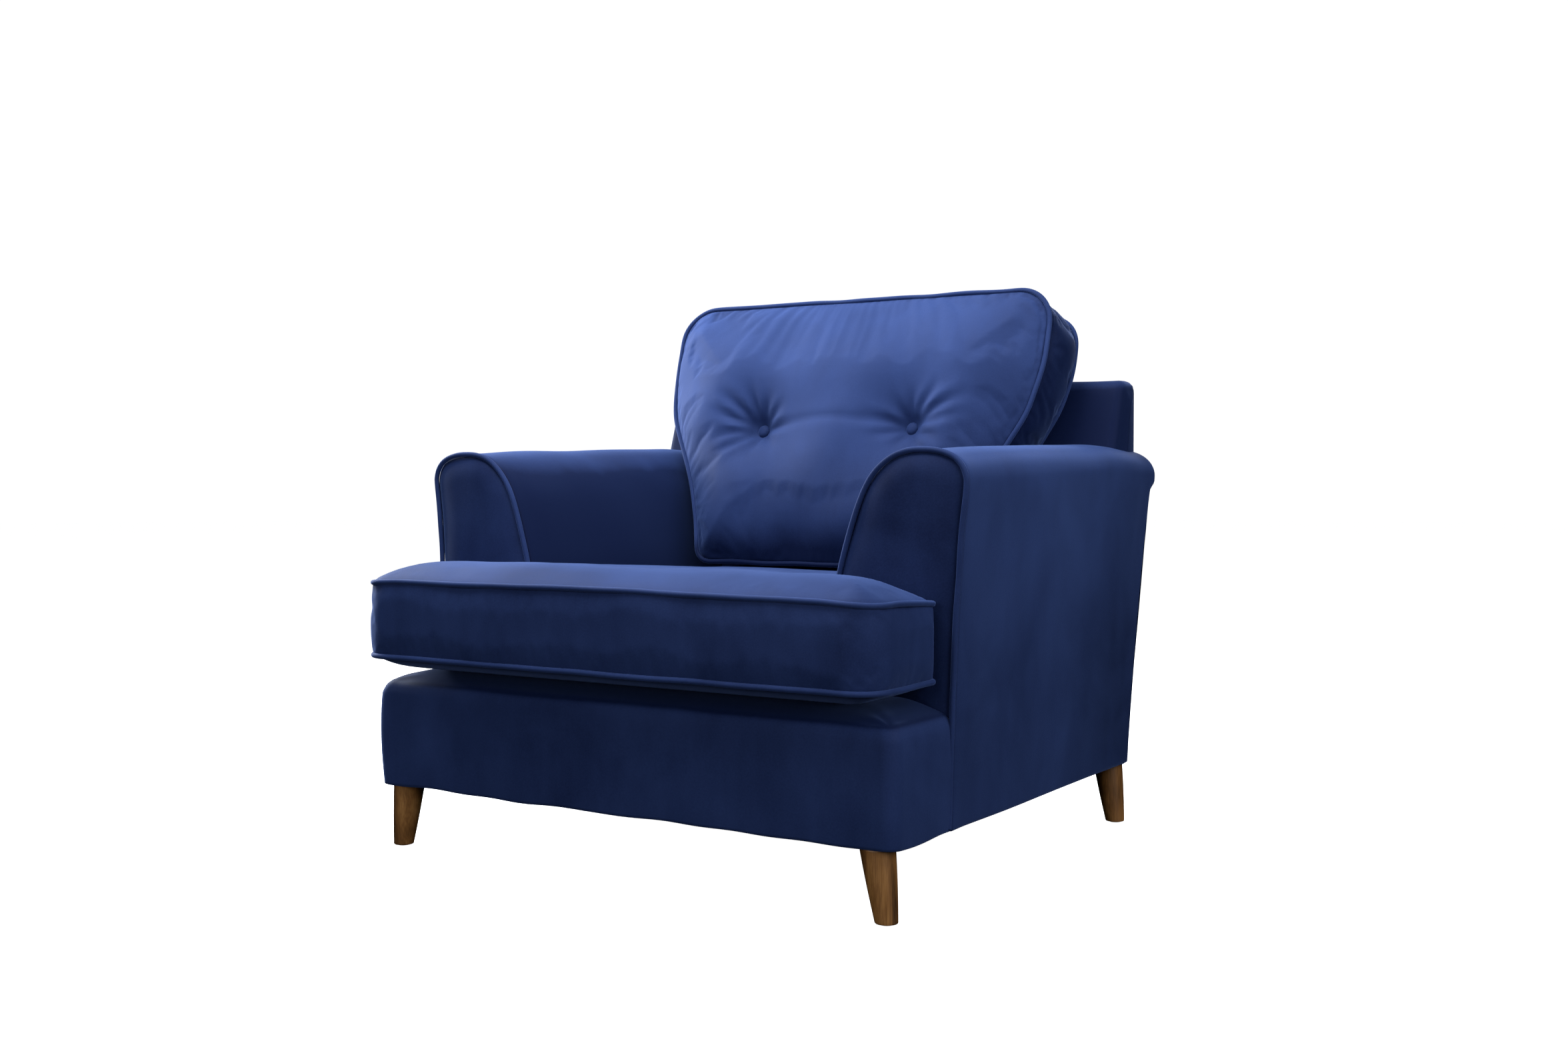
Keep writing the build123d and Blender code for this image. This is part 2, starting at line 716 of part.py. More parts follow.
# Zips: a tape with a raised chain, and a slider that straddles the chain and carries a pull
def zip_strip(plane):
    """Zip along a plane's X, standing up from the plane."""
    with BuildPart() as strip:
        with BuildSketch(plane):
            Rectangle(zip_length, zip_tape_width)
        extrude(amount=zip_tape_thickness)
        with BuildSketch(plane.offset(zip_tape_thickness)):
            Rectangle(zip_length, zip_chain_width)
        extrude(amount=zip_chain_thickness)
    return strip


def zip_slider(plane):
    """Slider at the closed end of a zip on the same plane, clear of its tape and chain."""
    closed_x = (slider_length - zip_length) / 2
    lip_y = (zip_chain_width + slider_width) / 4 + gap / 2
    lip_width = (slider_width - zip_chain_width) / 2 - gap
    roof = zip_tape_thickness + zip_chain_thickness + gap
    with BuildPart() as slider:
        with BuildSketch(plane.offset(zip_tape_thickness + gap)):
            with Locations((closed_x, lip_y), (closed_x, -lip_y)):
                Rectangle(slider_length, lip_width)
        extrude(amount=zip_chain_thickness)
        with BuildSketch(plane.offset(roof)):
            with Locations((closed_x, 0)):
                Rectangle(slider_length, slider_width)
            with Locations((closed_x, -slider_pull / 2)):
                Rectangle(slider_width / 2, slider_pull)
        extrude(amount=slider_thickness / 2)
    return slider


seat_rear_seam = seat_plane(seat_upper_seam, seat_rake).from_local_coords((0, seat_rear_y - seat_front_y, 0))
seat_rear_border = Vector(0, seat_rear_seam.Y - seat_rear_y, seat_rear_seam.Z - seat_lower_seam)
seat_zip_plane = Plane(
    origin=(0, (seat_rear_y + seat_rear_seam.Y) / 2, (seat_lower_seam + seat_rear_seam.Z) / 2),
    x_dir=(-1, 0, 0),
    z_dir=Vector(-1, 0, 0).cross(seat_rear_border).normalized(),
)
seat_cushion_zip = zip_strip(seat_zip_plane)
seat_cushion_zip.part.label = "seat_cushion_zip"
export_step(seat_cushion_zip.part, "parts/seat_cushion_zip.step")
seat_zip_slider = zip_slider(seat_zip_plane)
seat_zip_slider.part.label = "seat_zip_slider"
export_step(seat_zip_slider.part, "parts/seat_zip_slider.step")


# Back cushion: wider above the arms, leaning on the inside back, foot level with the seat cushion
back_piping_offset = piping_radius / cos(back_lean) + seam_slack
back_cushion_reach = (back_cushion_thickness + piping_radius + gap) / cos(back_lean)
foot_lift = gap + 2 * piping_radius + seam_slack  # front seam above the seat cushion's crown
foot_setback = back_face_y(0) - back_cushion_reach - seat_front_y
rake_lift = seat_top + foot_lift - foot_setback * tan(seat_rake)
back_cushion_z = rake_lift / (1 + tan(back_lean) * tan(seat_rake))  # where both slopes meet
back_cushion_y = back_face_y(back_cushion_z) - back_cushion_reach


def cushion_plane(depth, x=0, rise=0):
    """Leaning plane facing the front, a depth behind the front seam; its Y runs up the lean."""
    return Plane(
        origin=(
            x,
            back_cushion_y + depth * cos(back_lean) + rise * sin(back_lean),
            back_cushion_z - depth * sin(back_lean) + rise * cos(back_lean),
        ),
        x_dir=(1, 0, 0),
        z_dir=(0, -cos(back_lean), sin(back_lean)),
    )


def back_cushion_outline(depth, inset):
    """Outline of the back cushion at a depth; its foot stays level as the depth grows."""
    level = depth * tan(back_lean)
    foot = level + inset
    top = back_cushion_length - inset
    half_foot = back_cushion_half_foot - inset
    half_top = back_cushion_half_top - inset
    foot_radius = back_cushion_foot_radius
    top_radius = back_cushion_top_radius
    with BuildSketch(cushion_plane(depth)) as outline:
        with BuildLine():
            Line((0, foot), (half_foot - foot_radius, foot))
            RadiusArc((half_foot - foot_radius, foot), (half_foot, foot + foot_radius), -foot_radius)
            Spline(
                (half_foot, foot + foot_radius),
                (back_cushion_half_waist - inset, level + back_cushion_waist),
                (back_cushion_half_shoulder - inset, level + back_cushion_shoulder),
                (half_top, top - top_radius),
                tangents=[(0, 1), (0, 1)],
            )
            RadiusArc((half_top, top - top_radius), (half_top - top_radius, top), -top_radius)
            Line((half_top - top_radius, top), (0, top))
            mirror(about=Plane.YZ)
        make_face()
    return outline.sketch


button_places = [(-button_half_spacing, button_rise), (button_half_spacing, button_rise)]


def back_cushion_block(inset):
    """Solid back cushion, a given distance inside its cover, pulled in at the buttons on both faces."""
    front = inset - back_cushion_crown
    rear = back_cushion_thickness + back_cushion_rear_crown - inset
    bottom_up = (Align.CENTER, Align.CENTER, Align.MIN)
    with BuildPart() as block:
        levels = (
            (rear, back_cushion_rear_margin),
            (back_cushion_thickness, inset),
            (0, inset),
            (front, back_crown_margin),
        )
        loft([back_cushion_outline(depth, margin).face() for depth, margin in levels], ruled=True)
        for x, rise in button_places:
            floor = inset - button_proud
            with Locations(cushion_plane(floor, x, rise)):
                Cone(button_radius + 2 * cover, dimple_radius + inset, floor - front + 1, align=bottom_up,
                     mode=Mode.SUBTRACT)
            with Locations(cushion_plane(rear + 1, x, rise)):
                Cone(dimple_radius / 2 + inset, button_radius + 2 * cover,
                     rear + 1 - back_cushion_thickness + rear_button_sink + inset, align=bottom_up,
                     mode=Mode.SUBTRACT)
    return block


def cut_twine_holes():
    """Pierce the current part for the twine that ties each pair of buttons."""
    for x, rise in button_places:
        with Locations(cushion_plane(back_cushion_thickness / 2, x, rise)):
            Cylinder(twine_radius + twine_clearance, 3 * back_cushion_thickness, mode=Mode.SUBTRACT)


with BuildPart() as back_cushion_fill:
    add(back_cushion_block(cover).part)
    cut_twine_holes()
back_cushion_fill.part.label = "back_cushion_fill"
export_step(back_cushion_fill.part, "parts/back_cushion_fill.step")
with BuildPart() as back_cushion_cover:
    add(back_cushion_block(0).part)
    add(back_cushion_block(cover).part, mode=Mode.SUBTRACT)
    cut_twine_holes()
back_cushion_cover.part.label = "back_cushion_cover"
export_step(back_cushion_cover.part, "parts/back_cushion_cover.step")

back_piping_front = sweep_piping(back_cushion_outline(0, -back_piping_offset))
back_piping_front.part.label = "back_piping_front"
export_step(back_piping_front.part, "parts/back_piping_front.step")
back_piping_rear = sweep_piping(back_cushion_outline(back_cushion_thickness, -back_piping_offset))
back_piping_rear.part.label = "back_piping_rear"
export_step(back_piping_rear.part, "parts/back_piping_rear.step")

# Buttons: covered domes in the front dimples, flat ones behind, tied through the cushion with twine
for hand, (x, rise) in zip(("left", "right"), button_places):
    with BuildPart() as button:
        with BuildSketch(cushion_plane(-button_proud, x, rise)):
            Circle(button_radius)
        extrude(amount=button_height)
        fillet(button.faces().sort_by(Axis.Y)[0].edges(), button_height / 2)
    button.part.label = f"button_{hand}"
    export_step(button.part, f"parts/button_{hand}.step")

rear_button_depth = back_cushion_thickness - rear_button_sink
with BuildPart() as rear_buttons:
    for x, rise in button_places:
        with BuildSketch(cushion_plane(rear_button_depth, x, rise)):
            Circle(button_radius)
        extrude(amount=-rear_button_height)
rear_buttons.part.label = "rear_buttons"
export_step(rear_buttons.part, "parts/rear_buttons.step")

with BuildPart() as button_twine:
    for x, rise in button_places:
        with BuildSketch(cushion_plane(rear_button_depth, x, rise)):
            Circle(twine_radius)
        extrude(amount=rear_button_depth + button_proud)
button_twine.part.label = "button_twine"
export_step(button_twine.part, "parts/button_twine.step")

foot_zip_y = back_cushion_y + foot_zip_depth / cos(back_lean)
back_zip_plane = Plane(origin=(0, foot_zip_y, back_cushion_z), x_dir=(1, 0, 0), z_dir=(0, 0, -1))
back_cushion_zip = zip_strip(back_zip_plane)
back_cushion_zip.part.label = "back_cushion_zip"
export_step(back_cushion_zip.part, "parts/back_cushion_zip.step")
back_zip_slider = zip_slider(back_zip_plane)
back_zip_slider.part.label = "back_zip_slider"
export_step(back_zip_slider.part, "parts/back_zip_slider.step")
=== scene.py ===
import json
import math
import bmesh
import bpy
import numpy as np
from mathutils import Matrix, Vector


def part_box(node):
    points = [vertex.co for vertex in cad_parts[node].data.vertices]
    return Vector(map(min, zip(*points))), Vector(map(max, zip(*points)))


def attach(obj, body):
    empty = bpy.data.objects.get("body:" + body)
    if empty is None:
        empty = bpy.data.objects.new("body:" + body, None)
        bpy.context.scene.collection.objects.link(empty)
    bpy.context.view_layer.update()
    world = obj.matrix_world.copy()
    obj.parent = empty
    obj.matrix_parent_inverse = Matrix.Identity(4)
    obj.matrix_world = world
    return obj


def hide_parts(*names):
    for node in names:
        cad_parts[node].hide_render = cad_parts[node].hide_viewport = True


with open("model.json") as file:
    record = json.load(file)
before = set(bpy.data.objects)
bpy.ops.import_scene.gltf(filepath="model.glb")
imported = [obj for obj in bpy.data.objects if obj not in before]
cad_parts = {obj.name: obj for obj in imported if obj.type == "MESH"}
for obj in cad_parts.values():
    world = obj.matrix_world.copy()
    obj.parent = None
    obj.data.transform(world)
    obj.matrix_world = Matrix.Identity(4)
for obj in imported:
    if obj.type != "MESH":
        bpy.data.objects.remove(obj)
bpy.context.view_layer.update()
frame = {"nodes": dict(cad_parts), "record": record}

# lengths are in metres, the chair faces -Y, and both sides of X = 0 are alike
chair = {
    "baseFrontY": -0.4265,
    "deck": 0.289,
    "armFrontY": -0.2635,
    "armCrest": 0.640,
    "rearY": 0.463,
    "backTop": 0.770,
    "lean": math.radians(18),
    "pipe": 0.0042,
}
seed = 7


def smoothCurve(points, count, closed=False):
    # Catmull-Rom curve through the points, then resampled to even steps along its length
    p = np.asarray(points, float)
    if closed:
        q = np.vstack([p[-1], p, p[0], p[1]])
    else:
        q = np.vstack([2 * p[0] - p[1], p, 2 * p[-1] - p[-2]])
    t = np.linspace(0, 1, 24, endpoint=False)[:, None]
    spans = []
    for a, b, c, d in zip(q[:-3], q[1:-2], q[2:-1], q[3:]):
        square, cube = (2 * a - 5 * b + 4 * c - d) * t**2, (3 * b - a - 3 * c + d) * t**3
        spans.append(0.5 * (2 * b + (c - a) * t + square + cube))
    dense = np.vstack(spans + ([] if closed else [p[-1:]]))
    return resample(dense, count, closed)


def resample(points, count, closed=False):
    # even steps along a polyline; a closed one doesn't repeat its first point
    p = np.vstack([points, points[:1]]) if closed else points
    s = np.concatenate([[0], np.cumsum(np.linalg.norm(np.diff(p, axis=0), axis=1))])
    at = np.linspace(0, s[-1], count + 1)[:-1] if closed else np.linspace(0, s[-1], count)
    return np.stack([np.interp(at, s, p[:, k]) for k in range(p.shape[1])], axis=1)


def roundedPath(corners, radii, count, closed=True):
    # straight runs with each corner cut by a circular arc of its radius
    p = np.asarray(corners, float)
    out = []
    for i, r in enumerate(radii):
        a, b, c = p[i - 1], p[i], p[(i + 1) % len(p)]
        if r == 0:
            out.append(b[None])
            continue
        u, v = (a - b) / np.linalg.norm(a - b), (c - b) / np.linalg.norm(c - b)
        half = math.acos(np.clip(u @ v, -1, 1)) / 2
        reach = r / math.tan(half)
        centre = b + (u + v) / np.linalg.norm(u + v) * r / math.sin(half)
        start, end = b + u * reach - centre, b + v * reach - centre
        turn = math.atan2(start[0] * end[1] - start[1] * end[0], start @ end)
        angles = np.linspace(0, turn, 13)[:, None]
        side = np.array([-start[1], start[0]])
        out.append(centre + start * np.cos(angles) + side * np.sin(angles))
    return resample(np.vstack(out), count, closed)


def outward(curve, closed=False):
    # unit normals of a flat curve, to the right of its direction
    if closed:
        along = np.roll(curve, -1, 0) - np.roll(curve, 1, 0)
    else:
        along = np.gradient(curve, axis=0)
    n = np.stack([along[:, 1], -along[:, 0]], axis=1)
    return n / np.linalg.norm(n, axis=1)[:, None]


def wave(p, size, seedShift=0):
    # smooth random field: sines with random directions, wavelengths near size, values from about -1 to 1
    rng = np.random.default_rng(seed + seedShift)
    total = np.zeros(len(p))
    for _ in range(10):
        d = rng.normal(size=p.shape[1])
        d /= np.linalg.norm(d)
        total += np.sin(p @ d * (2 * math.pi / size) * rng.uniform(0.6, 1.5) + rng.uniform(0, 2 * math.pi))
    return total / 3.2


def makeMesh(name, points, faces):
    mesh = bpy.data.meshes.new(name)
    mesh.from_pydata(points.tolist(), [], faces.tolist() if hasattr(faces, "tolist") else faces)
    mesh.validate()
    mesh.polygons.foreach_set("use_smooth", [True] * len(mesh.polygons))
    piece = bpy.data.objects.new(name, mesh)
    bpy.context.scene.collection.objects.link(piece)
    return piece


def gridFaces(rows, columns, closeColumns=False, flip=False):
    # quads between neighbouring rows and columns of a grid
    i = np.arange(rows - 1)[:, None]
    j = np.arange(columns if closeColumns else columns - 1)[None, :]
    k = (j + 1) % columns
    here, above = i * columns, (i + 1) * columns
    quads = np.stack([here + j, here + k, above + k, above + j], axis=-1).reshape(-1, 4)
    return quads[:, ::-1] if flip else quads


def skin(name, grid, closeColumns=False, flip=False, caps=False):
    # a surface from points on a grid of rows and columns; caps close the first and last row
    rows, columns = grid.shape[:2]
    faces = gridFaces(rows, columns, closeColumns, flip).tolist()
    if caps:
        first, last = list(range(columns)), list(range((rows - 1) * columns, rows * columns))
        faces.append(first if flip else first[::-1])
        faces.append(last[::-1] if flip else last)
    return makeMesh(name, grid.reshape(-1, 3), faces)


def tube(name, path, radius, closed=False, sides=12):
    # a round section carried along a path: at each point it stands across the path's direction
    if closed:
        along = np.roll(path, -1, 0) - np.roll(path, 1, 0)
    else:
        along = np.gradient(path, axis=0)
    along /= np.linalg.norm(along, axis=1)[:, None]
    n = np.cross(along, planeNormal(path))
    n /= np.linalg.norm(n, axis=1)[:, None]
    b = np.cross(along, n)
    a = np.linspace(0, 2 * math.pi, sides, endpoint=False)
    ring = n[:, None] * np.cos(a)[None, :, None] + b[:, None] * np.sin(a)[None, :, None]
    grid = path[:, None] + ring * radius
    if closed:
        grid = np.concatenate([grid, grid[:1]])
        faces = gridFaces(len(grid), sides, True)
        faces = faces % (len(path) * sides)
        return makeMesh(name, grid[:-1].reshape(-1, 3), faces)
    return skin(name, grid, closeColumns=True, caps=True)


def planeNormal(path):
    # direction across which a nearly flat path varies least
    centred = path - path.mean(0)
    return np.linalg.svd(centred, full_matrices=False)[2][2]


def recalc(piece):
    # weld and turn all faces outwards
    work = bmesh.new()
    work.from_mesh(piece.data)
    bmesh.ops.remove_doubles(work, verts=work.verts, dist=1e-5)
    bmesh.ops.recalc_face_normals(work, faces=work.faces)
    work.to_mesh(piece.data)
    work.free()
    return piece


def bake(piece):
    # the piece's modifiers become its mesh
    evaluated = piece.evaluated_get(bpy.context.evaluated_depsgraph_get())
    mesh = bpy.data.meshes.new_from_object(evaluated)
    piece.modifiers.clear()
    piece.data = mesh
    piece.data.polygons.foreach_set("use_smooth", [True] * len(piece.data.polygons))
    return piece


def points(piece):
    co = np.empty(len(piece.data.vertices) * 3)
    piece.data.vertices.foreach_get("co", co)
    return co.reshape(-1, 3)


def setPoints(piece, co):
    piece.data.vertices.foreach_set("co", np.ascontiguousarray(co, float).ravel())
    piece.data.update()


def paintShading(piece, nap):
    # painted light and shade at each point: below zero painted shade, above zero painted light
    layer = piece.data.attributes.get("nap") or piece.data.attributes.new("nap", "FLOAT", "POINT")
    values = np.broadcast_to(nap, len(piece.data.vertices))
    layer.data.foreach_set("value", np.ascontiguousarray(values, np.float32))
    return piece


def voxels(piece, size):
    modifier = piece.modifiers.new("Remesh", "REMESH")
    modifier.mode = "VOXEL"
    modifier.voxel_size = size
    return bake(piece)


def subdivide(piece):
    modifier = piece.modifiers.new("Subdivision", "SUBSURF")
    modifier.levels = modifier.render_levels = 1
    return piece


def edgeDistance(p, outline):
    # distance of flat points to a closed outline, in blocks to spare memory
    a, b = outline, np.roll(outline, -1, 0)
    ab = b - a
    out = np.empty(len(p))
    for lo in range(0, len(p), 4000):
        q = p[lo:lo + 4000, None] - a[None]
        t = np.clip((q * ab).sum(-1) / (ab * ab).sum(-1), 0, 1)
        out[lo:lo + 4000] = np.sqrt(((q - t[..., None] * ab) ** 2).sum(-1).min(1))
    return out


def settle(piece, pinned, cap, pressure, slack, frames=20):
    # the cover is blown up against its pinned seams as cloth; no point moves further than cap
    start = points(piece)
    group = piece.vertex_groups.new(name="seam")
    group.add(np.flatnonzero(pinned).tolist(), 1.0, "REPLACE")
    cloth = piece.modifiers.new("Cloth", "CLOTH")
    cloth.settings.quality = 4
    cloth.settings.mass = 0.25
    cloth.settings.tension_stiffness = cloth.settings.compression_stiffness = 20
    cloth.settings.bending_stiffness = 0.6
    cloth.settings.vertex_group_mass = "seam"
    cloth.settings.use_pressure = True
    cloth.settings.uniform_pressure_force = pressure
    cloth.settings.shrink_min = -slack
    cloth.settings.effector_weights.gravity = 0
    cloth.collision_settings.use_collision = False
    cloth.point_cache.frame_start = 1
    cloth.point_cache.frame_end = frames
    for f in range(1, frames + 1):
        bpy.context.scene.frame_set(f)
    bake(piece)
    bpy.context.scene.frame_set(1)
    moved = points(piece) - start
    length = np.linalg.norm(moved, axis=1)[:, None]
    setPoints(piece, start + moved * np.minimum(1, cap / np.maximum(length, 1e-9)))
    piece.vertex_groups.clear()
    return piece


class Value:
    # a node's output that arithmetic works on: each operation adds a Math node
    def __init__(self, paint, socket):
        self.paint, self.socket = paint, socket

    def withOther(self, operation, first, second):
        return self.paint.node("ShaderNodeMath", {"operation": operation}, {0: first, 1: second})

    def __add__(self, other):
        return self.withOther("ADD", self, other)

    def __radd__(self, other):
        return self.withOther("ADD", other, self)

    def __sub__(self, other):
        return self.withOther("SUBTRACT", self, other)

    def __rsub__(self, other):
        return self.withOther("SUBTRACT", other, self)

    def __mul__(self, other):
        return self.withOther("MULTIPLY", self, other)

    def __rmul__(self, other):
        return self.withOther("MULTIPLY", other, self)


class Paint:
    # one material and the nodes in it
    def __init__(self, name):
        self.material = bpy.data.materials.new(name)
        self.material.use_nodes = True
        self.tree = self.material.node_tree
        self.tree.nodes.clear()

    def node(self, kind, settings=None, inputs=None, output=0):
        made = self.tree.nodes.new(kind)
        for key, value in (settings or {}).items():
            if key == "stops":
                ramp = made.color_ramp
                while len(ramp.elements) < len(value):
                    ramp.elements.new(1.0)
                for element, (place, colour) in zip(ramp.elements, value):
                    element.position, element.color = place, colour
            else:
                setattr(made, key, value)
        for key, value in (inputs or {}).items():
            if isinstance(value, Value):
                self.tree.links.new(value.socket, made.inputs[key])
            else:
                made.inputs[key].default_value = value
        return Value(self, made.outputs[output]) if made.outputs else None

    def place(self):
        return self.node("ShaderNodeTexCoord", output=3)

    def stretched(self, scale):
        return self.node("ShaderNodeMapping", {}, {"Vector": self.place(), "Scale": scale})

    def noise(self, scale, detail=3.0, vector=None, roughness=0.55, distortion=0.0):
        inputs = {"Scale": scale, "Detail": detail, "Roughness": roughness, "Distortion": distortion}
        inputs["Vector"] = vector or self.place()
        return self.node("ShaderNodeTexNoise", {}, inputs)

    def mix(self, factor, a, b):
        return self.node("ShaderNodeMix", {"data_type": "RGBA"}, {0: factor, 6: a, 7: b}, output=2)

    def bump(self, height, distance, strength=1.0, normal=None):
        inputs = {"Height": height, "Distance": distance, "Strength": strength}
        if normal:
            inputs["Normal"] = normal
        return self.node("ShaderNodeBump", {}, inputs)

    def finish(self, inputs):
        shader = self.node("ShaderNodeBsdfPrincipled", {}, inputs)
        self.node("ShaderNodeOutputMaterial", {}, {"Surface": shader})
        return self.material


velvetLook = {
    "deep": (0.0022, 0.0070, 0.036, 1),
    "light": (0.032, 0.060, 0.190, 1),
    "sheen": 0.30,
    "sheenRoughness": 0.38,
    "sheenTint": (0.27, 0.43, 1.0, 1),
    "roughness": 0.70,
}


def velvet(name, lighter=0.0):
    # short pile: fine bump, brushed patches darker or lighter, and a pale bloom at grazing angles;
    # each piece's painted shading value darkens it with painted shade or lightens it with painted light
    paint = Paint(name)
    nap = paint.node("ShaderNodeAttribute", {"attribute_name": "nap"}, output=2)
    patches = paint.noise(4.5, 3.0, distortion=0.6)
    strokes = paint.noise(22.0, 2.0, paint.stretched((1.0, 1.0, 0.3)))
    pile = paint.noise(1300.0, 2.0)
    weave = paint.noise(380.0, 2.0)
    # lighter brightens a whole copy of the velvet: a painted highlight
    shade = nap + patches * 0.55 + strokes * 0.22 + weave * 0.16 - 0.10 + lighter
    stops = [(0.05, velvetLook["deep"]), (0.95, velvetLook["light"])]
    colour = paint.node("ShaderNodeValToRGB", {"stops": stops}, {0: shade})
    return paint.finish({
        "Base Color": colour,
        "Roughness": velvetLook["roughness"] - 0.08 + strokes * 0.16,
        "Specular IOR Level": 0.08,
        "Sheen Weight": velvetLook["sheen"],
        "Sheen Roughness": velvetLook["sheenRoughness"],
        "Sheen Tint": velvetLook["sheenTint"],
        "Normal": paint.bump(pile * 0.6 + weave * 0.4, 0.0006, 0.35),
    })


def stainedWood(name, dark, mid, light, roughness, along):
    # grain: noise drawn out along the timber, with fine dark pores, under a satin finish
    paint = Paint(name)
    across = tuple(1.0 if k == along else 9.0 for k in range(3))
    fine = tuple(2.0 if k == along else 60.0 for k in range(3))
    flow = paint.noise(2.6, 4.0, paint.stretched(across), distortion=1.2)
    pores = paint.noise(9.0, 3.0, paint.stretched(fine), roughness=0.7)
    blotch = paint.noise(14.0, 2.0)
    grain = flow * 0.75 + pores * 0.35 + blotch * 0.2 - 0.15
    stops = [(0.30, dark), (0.50, mid), (0.72, light)]
    colour = paint.node("ShaderNodeValToRGB", {"stops": stops}, {0: grain})
    return paint.finish({
        "Base Color": colour,
        "Roughness": roughness + pores * 0.18,
        "Specular IOR Level": 0.4,
        "Coat Weight": 0.25,
        "Coat Roughness": 0.25,
        "Normal": paint.bump(pores, 0.0006, 0.5),
    })


def softMaterial(name, low, high, scale, depth):
    # foam, felt or woven cloth: cells of two tones and a matching bump
    paint = Paint(name)
    cells = paint.noise(scale, 4.0)
    broad = paint.noise(scale / 12, 2.0)
    stops = [(0.3, low), (0.7, high)]
    colour = paint.node("ShaderNodeValToRGB", {"stops": stops}, {0: cells * 0.7 + broad * 0.3})
    return paint.finish({
        "Base Color": colour,
        "Roughness": 0.85 + cells * 0.1,
        "Normal": paint.bump(cells, depth, 0.6),
    })


def wovenMaterial(name, low, high, pitch):
    # plain weave: two crossed bands of waves
    paint = Paint(name)
    bands = {"Vector": paint.place(), "Scale": 0.314 / pitch, "Distortion": 0.4}
    warp = paint.node("ShaderNodeTexWave", {"bands_direction": "X"}, bands, output=1)
    weft = paint.node("ShaderNodeTexWave", {"bands_direction": "Y"}, bands, output=1)
    threads = warp * 0.5 + weft * 0.5
    shade = threads * 0.7 + paint.noise(60.0) * 0.3
    colour = paint.node("ShaderNodeValToRGB", {"stops": [(0.25, low), (0.8, high)]}, {0: shade})
    return paint.finish({
        "Base Color": colour,
        "Roughness": 0.9 - threads * 0.1,
        "Normal": paint.bump(threads, pitch * 0.3, 0.5),
    })


def metalMaterial(name, tone, roughness):
    # zinc-plated steel: faint blotches and brushed scratches
    paint = Paint(name)
    scratches = paint.noise(40.0, 3.0, paint.stretched((1.0, 12.0, 1.0)))
    blotch = paint.noise(35.0, 3.0)
    colour = paint.mix(blotch, tuple(0.8 * c for c in tone) + (1,), tone + (1,))
    return paint.finish({
        "Base Color": colour,
        "Metallic": 0.85 + blotch * 0.15,
        "Roughness": roughness + scratches * 0.2,
        "Normal": paint.bump(scratches, 0.0001, 0.4),
    })


timberTones = ((0.30, 0.18, 0.08, 1), (0.47, 0.31, 0.16, 1), (0.60, 0.43, 0.25, 1))
walnutTones = ((0.050, 0.021, 0.006, 1), (0.20, 0.088, 0.024, 1), (0.40, 0.20, 0.062, 1))
looks = {
    "velvet": velvet("velvet"),
    # the piping's copy of the velvet is painted a little lighter: a painted highlight on the cords
    "velvet_piping": velvet("velvetPiping", 0.05),
    "foam": softMaterial("foam", (0.62, 0.55, 0.38, 1), (0.80, 0.75, 0.58, 1), 260.0, 0.0008),
    "black_cloth": wovenMaterial("dustCloth", (0.012, 0.012, 0.013, 1), (0.045, 0.045, 0.048, 1), 0.0016),
    "hessian": wovenMaterial("hessian", (0.20, 0.14, 0.07, 1), (0.48, 0.37, 0.22, 1), 0.0024),
    "frame_timber": stainedWood("frameTimber", *timberTones, 0.5, 0),
    "walnut_stain": stainedWood("walnutStain", *walnutTones, 0.38, 2),
    "steel": metalMaterial("zincSteel", (0.55, 0.55, 0.57), 0.3),
    "nylon": softMaterial("glideNylon", (0.55, 0.54, 0.50, 1), (0.72, 0.71, 0.67, 1), 90.0, 0.0002),
    "zip_nylon": wovenMaterial("zipTape", (0.010, 0.014, 0.045, 1), (0.03, 0.04, 0.10, 1), 0.0012),
}
slots = {part["node"]: part["material_slot"] for part in frame["record"]["subparts"]}
for node, thing in frame["nodes"].items():
    thing.data.materials.clear()
    thing.data.materials.append(looks[slots[node]])
print("materials ready")


def place(piece, body, slotName, *nodes):
    # the piece gets its finish, stands for the CAD nodes and rides on its body
    piece.data.materials.clear()
    piece.data.materials.append(looks[slotName])
    if nodes:
        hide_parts(*nodes)
    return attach(piece, body)


def both(maker, name, slotName, body, nodes):
    # the right-hand piece and its mirror image, each standing for its own CAD nodes
    for hand, side in (("right", 1), ("left", -1)):
        piece = maker(name + hand.capitalize(), side)
        yield place(piece, body, slotName, *[f"{node}_{hand}" for node in nodes])


def stack(name, rings):
    # closed body: rings one above another, its two ends closed
    return recalc(skin(name, np.stack(rings), closeColumns=True, caps=True))


def smoothStep(t):
    t = np.clip(t, 0, 1)
    return t * t * (3 - 2 * t)


arm = {
    "outline": [  # x and z of the section from the outer foot over the roll to the deck
        (0.466, 0.1030), (0.4755, 0.1022), (0.4785, 0.1065), (0.4795, 0.150), (0.4830, 0.260), (0.4890, 0.400),
        (0.4975, 0.520), (0.5045, 0.584), (0.5035, 0.605), (0.4950, 0.6215), (0.4800, 0.6325), (0.4570, 0.6388),
        (0.4300, 0.6404), (0.4070, 0.6385), (0.3850, 0.6315), (0.3650, 0.6180), (0.3480, 0.5995),
        (0.3330, 0.5740), (0.3200, 0.5420), (0.3060, 0.4980), (0.2940, 0.4500), (0.2850, 0.3900),
        (0.2790, 0.3300), (0.2765, 0.2620),
    ],
    "columns": 220,
    "rows": 90,
    "rise": 0.022,
    "rollEndY": 0.4775,
    "lip": 0.566,
    "rollTurn": 0.052,
    "frontTurn": 0.006,
    "turnIn": 0.006,
    "turnDeep": 0.009,
    "rearDrop": 0.010,
    "puff": 0.0016,
}
armFrontY = chair["armFrontY"]


def rearFace(z):
    # outside back: leans out up to the knee at 0.5 and stands upright above it
    return 0.4215 + (chair["rearY"] - 0.003 - 0.4215) * np.clip((z - 0.101) / 0.399, 0, 1)


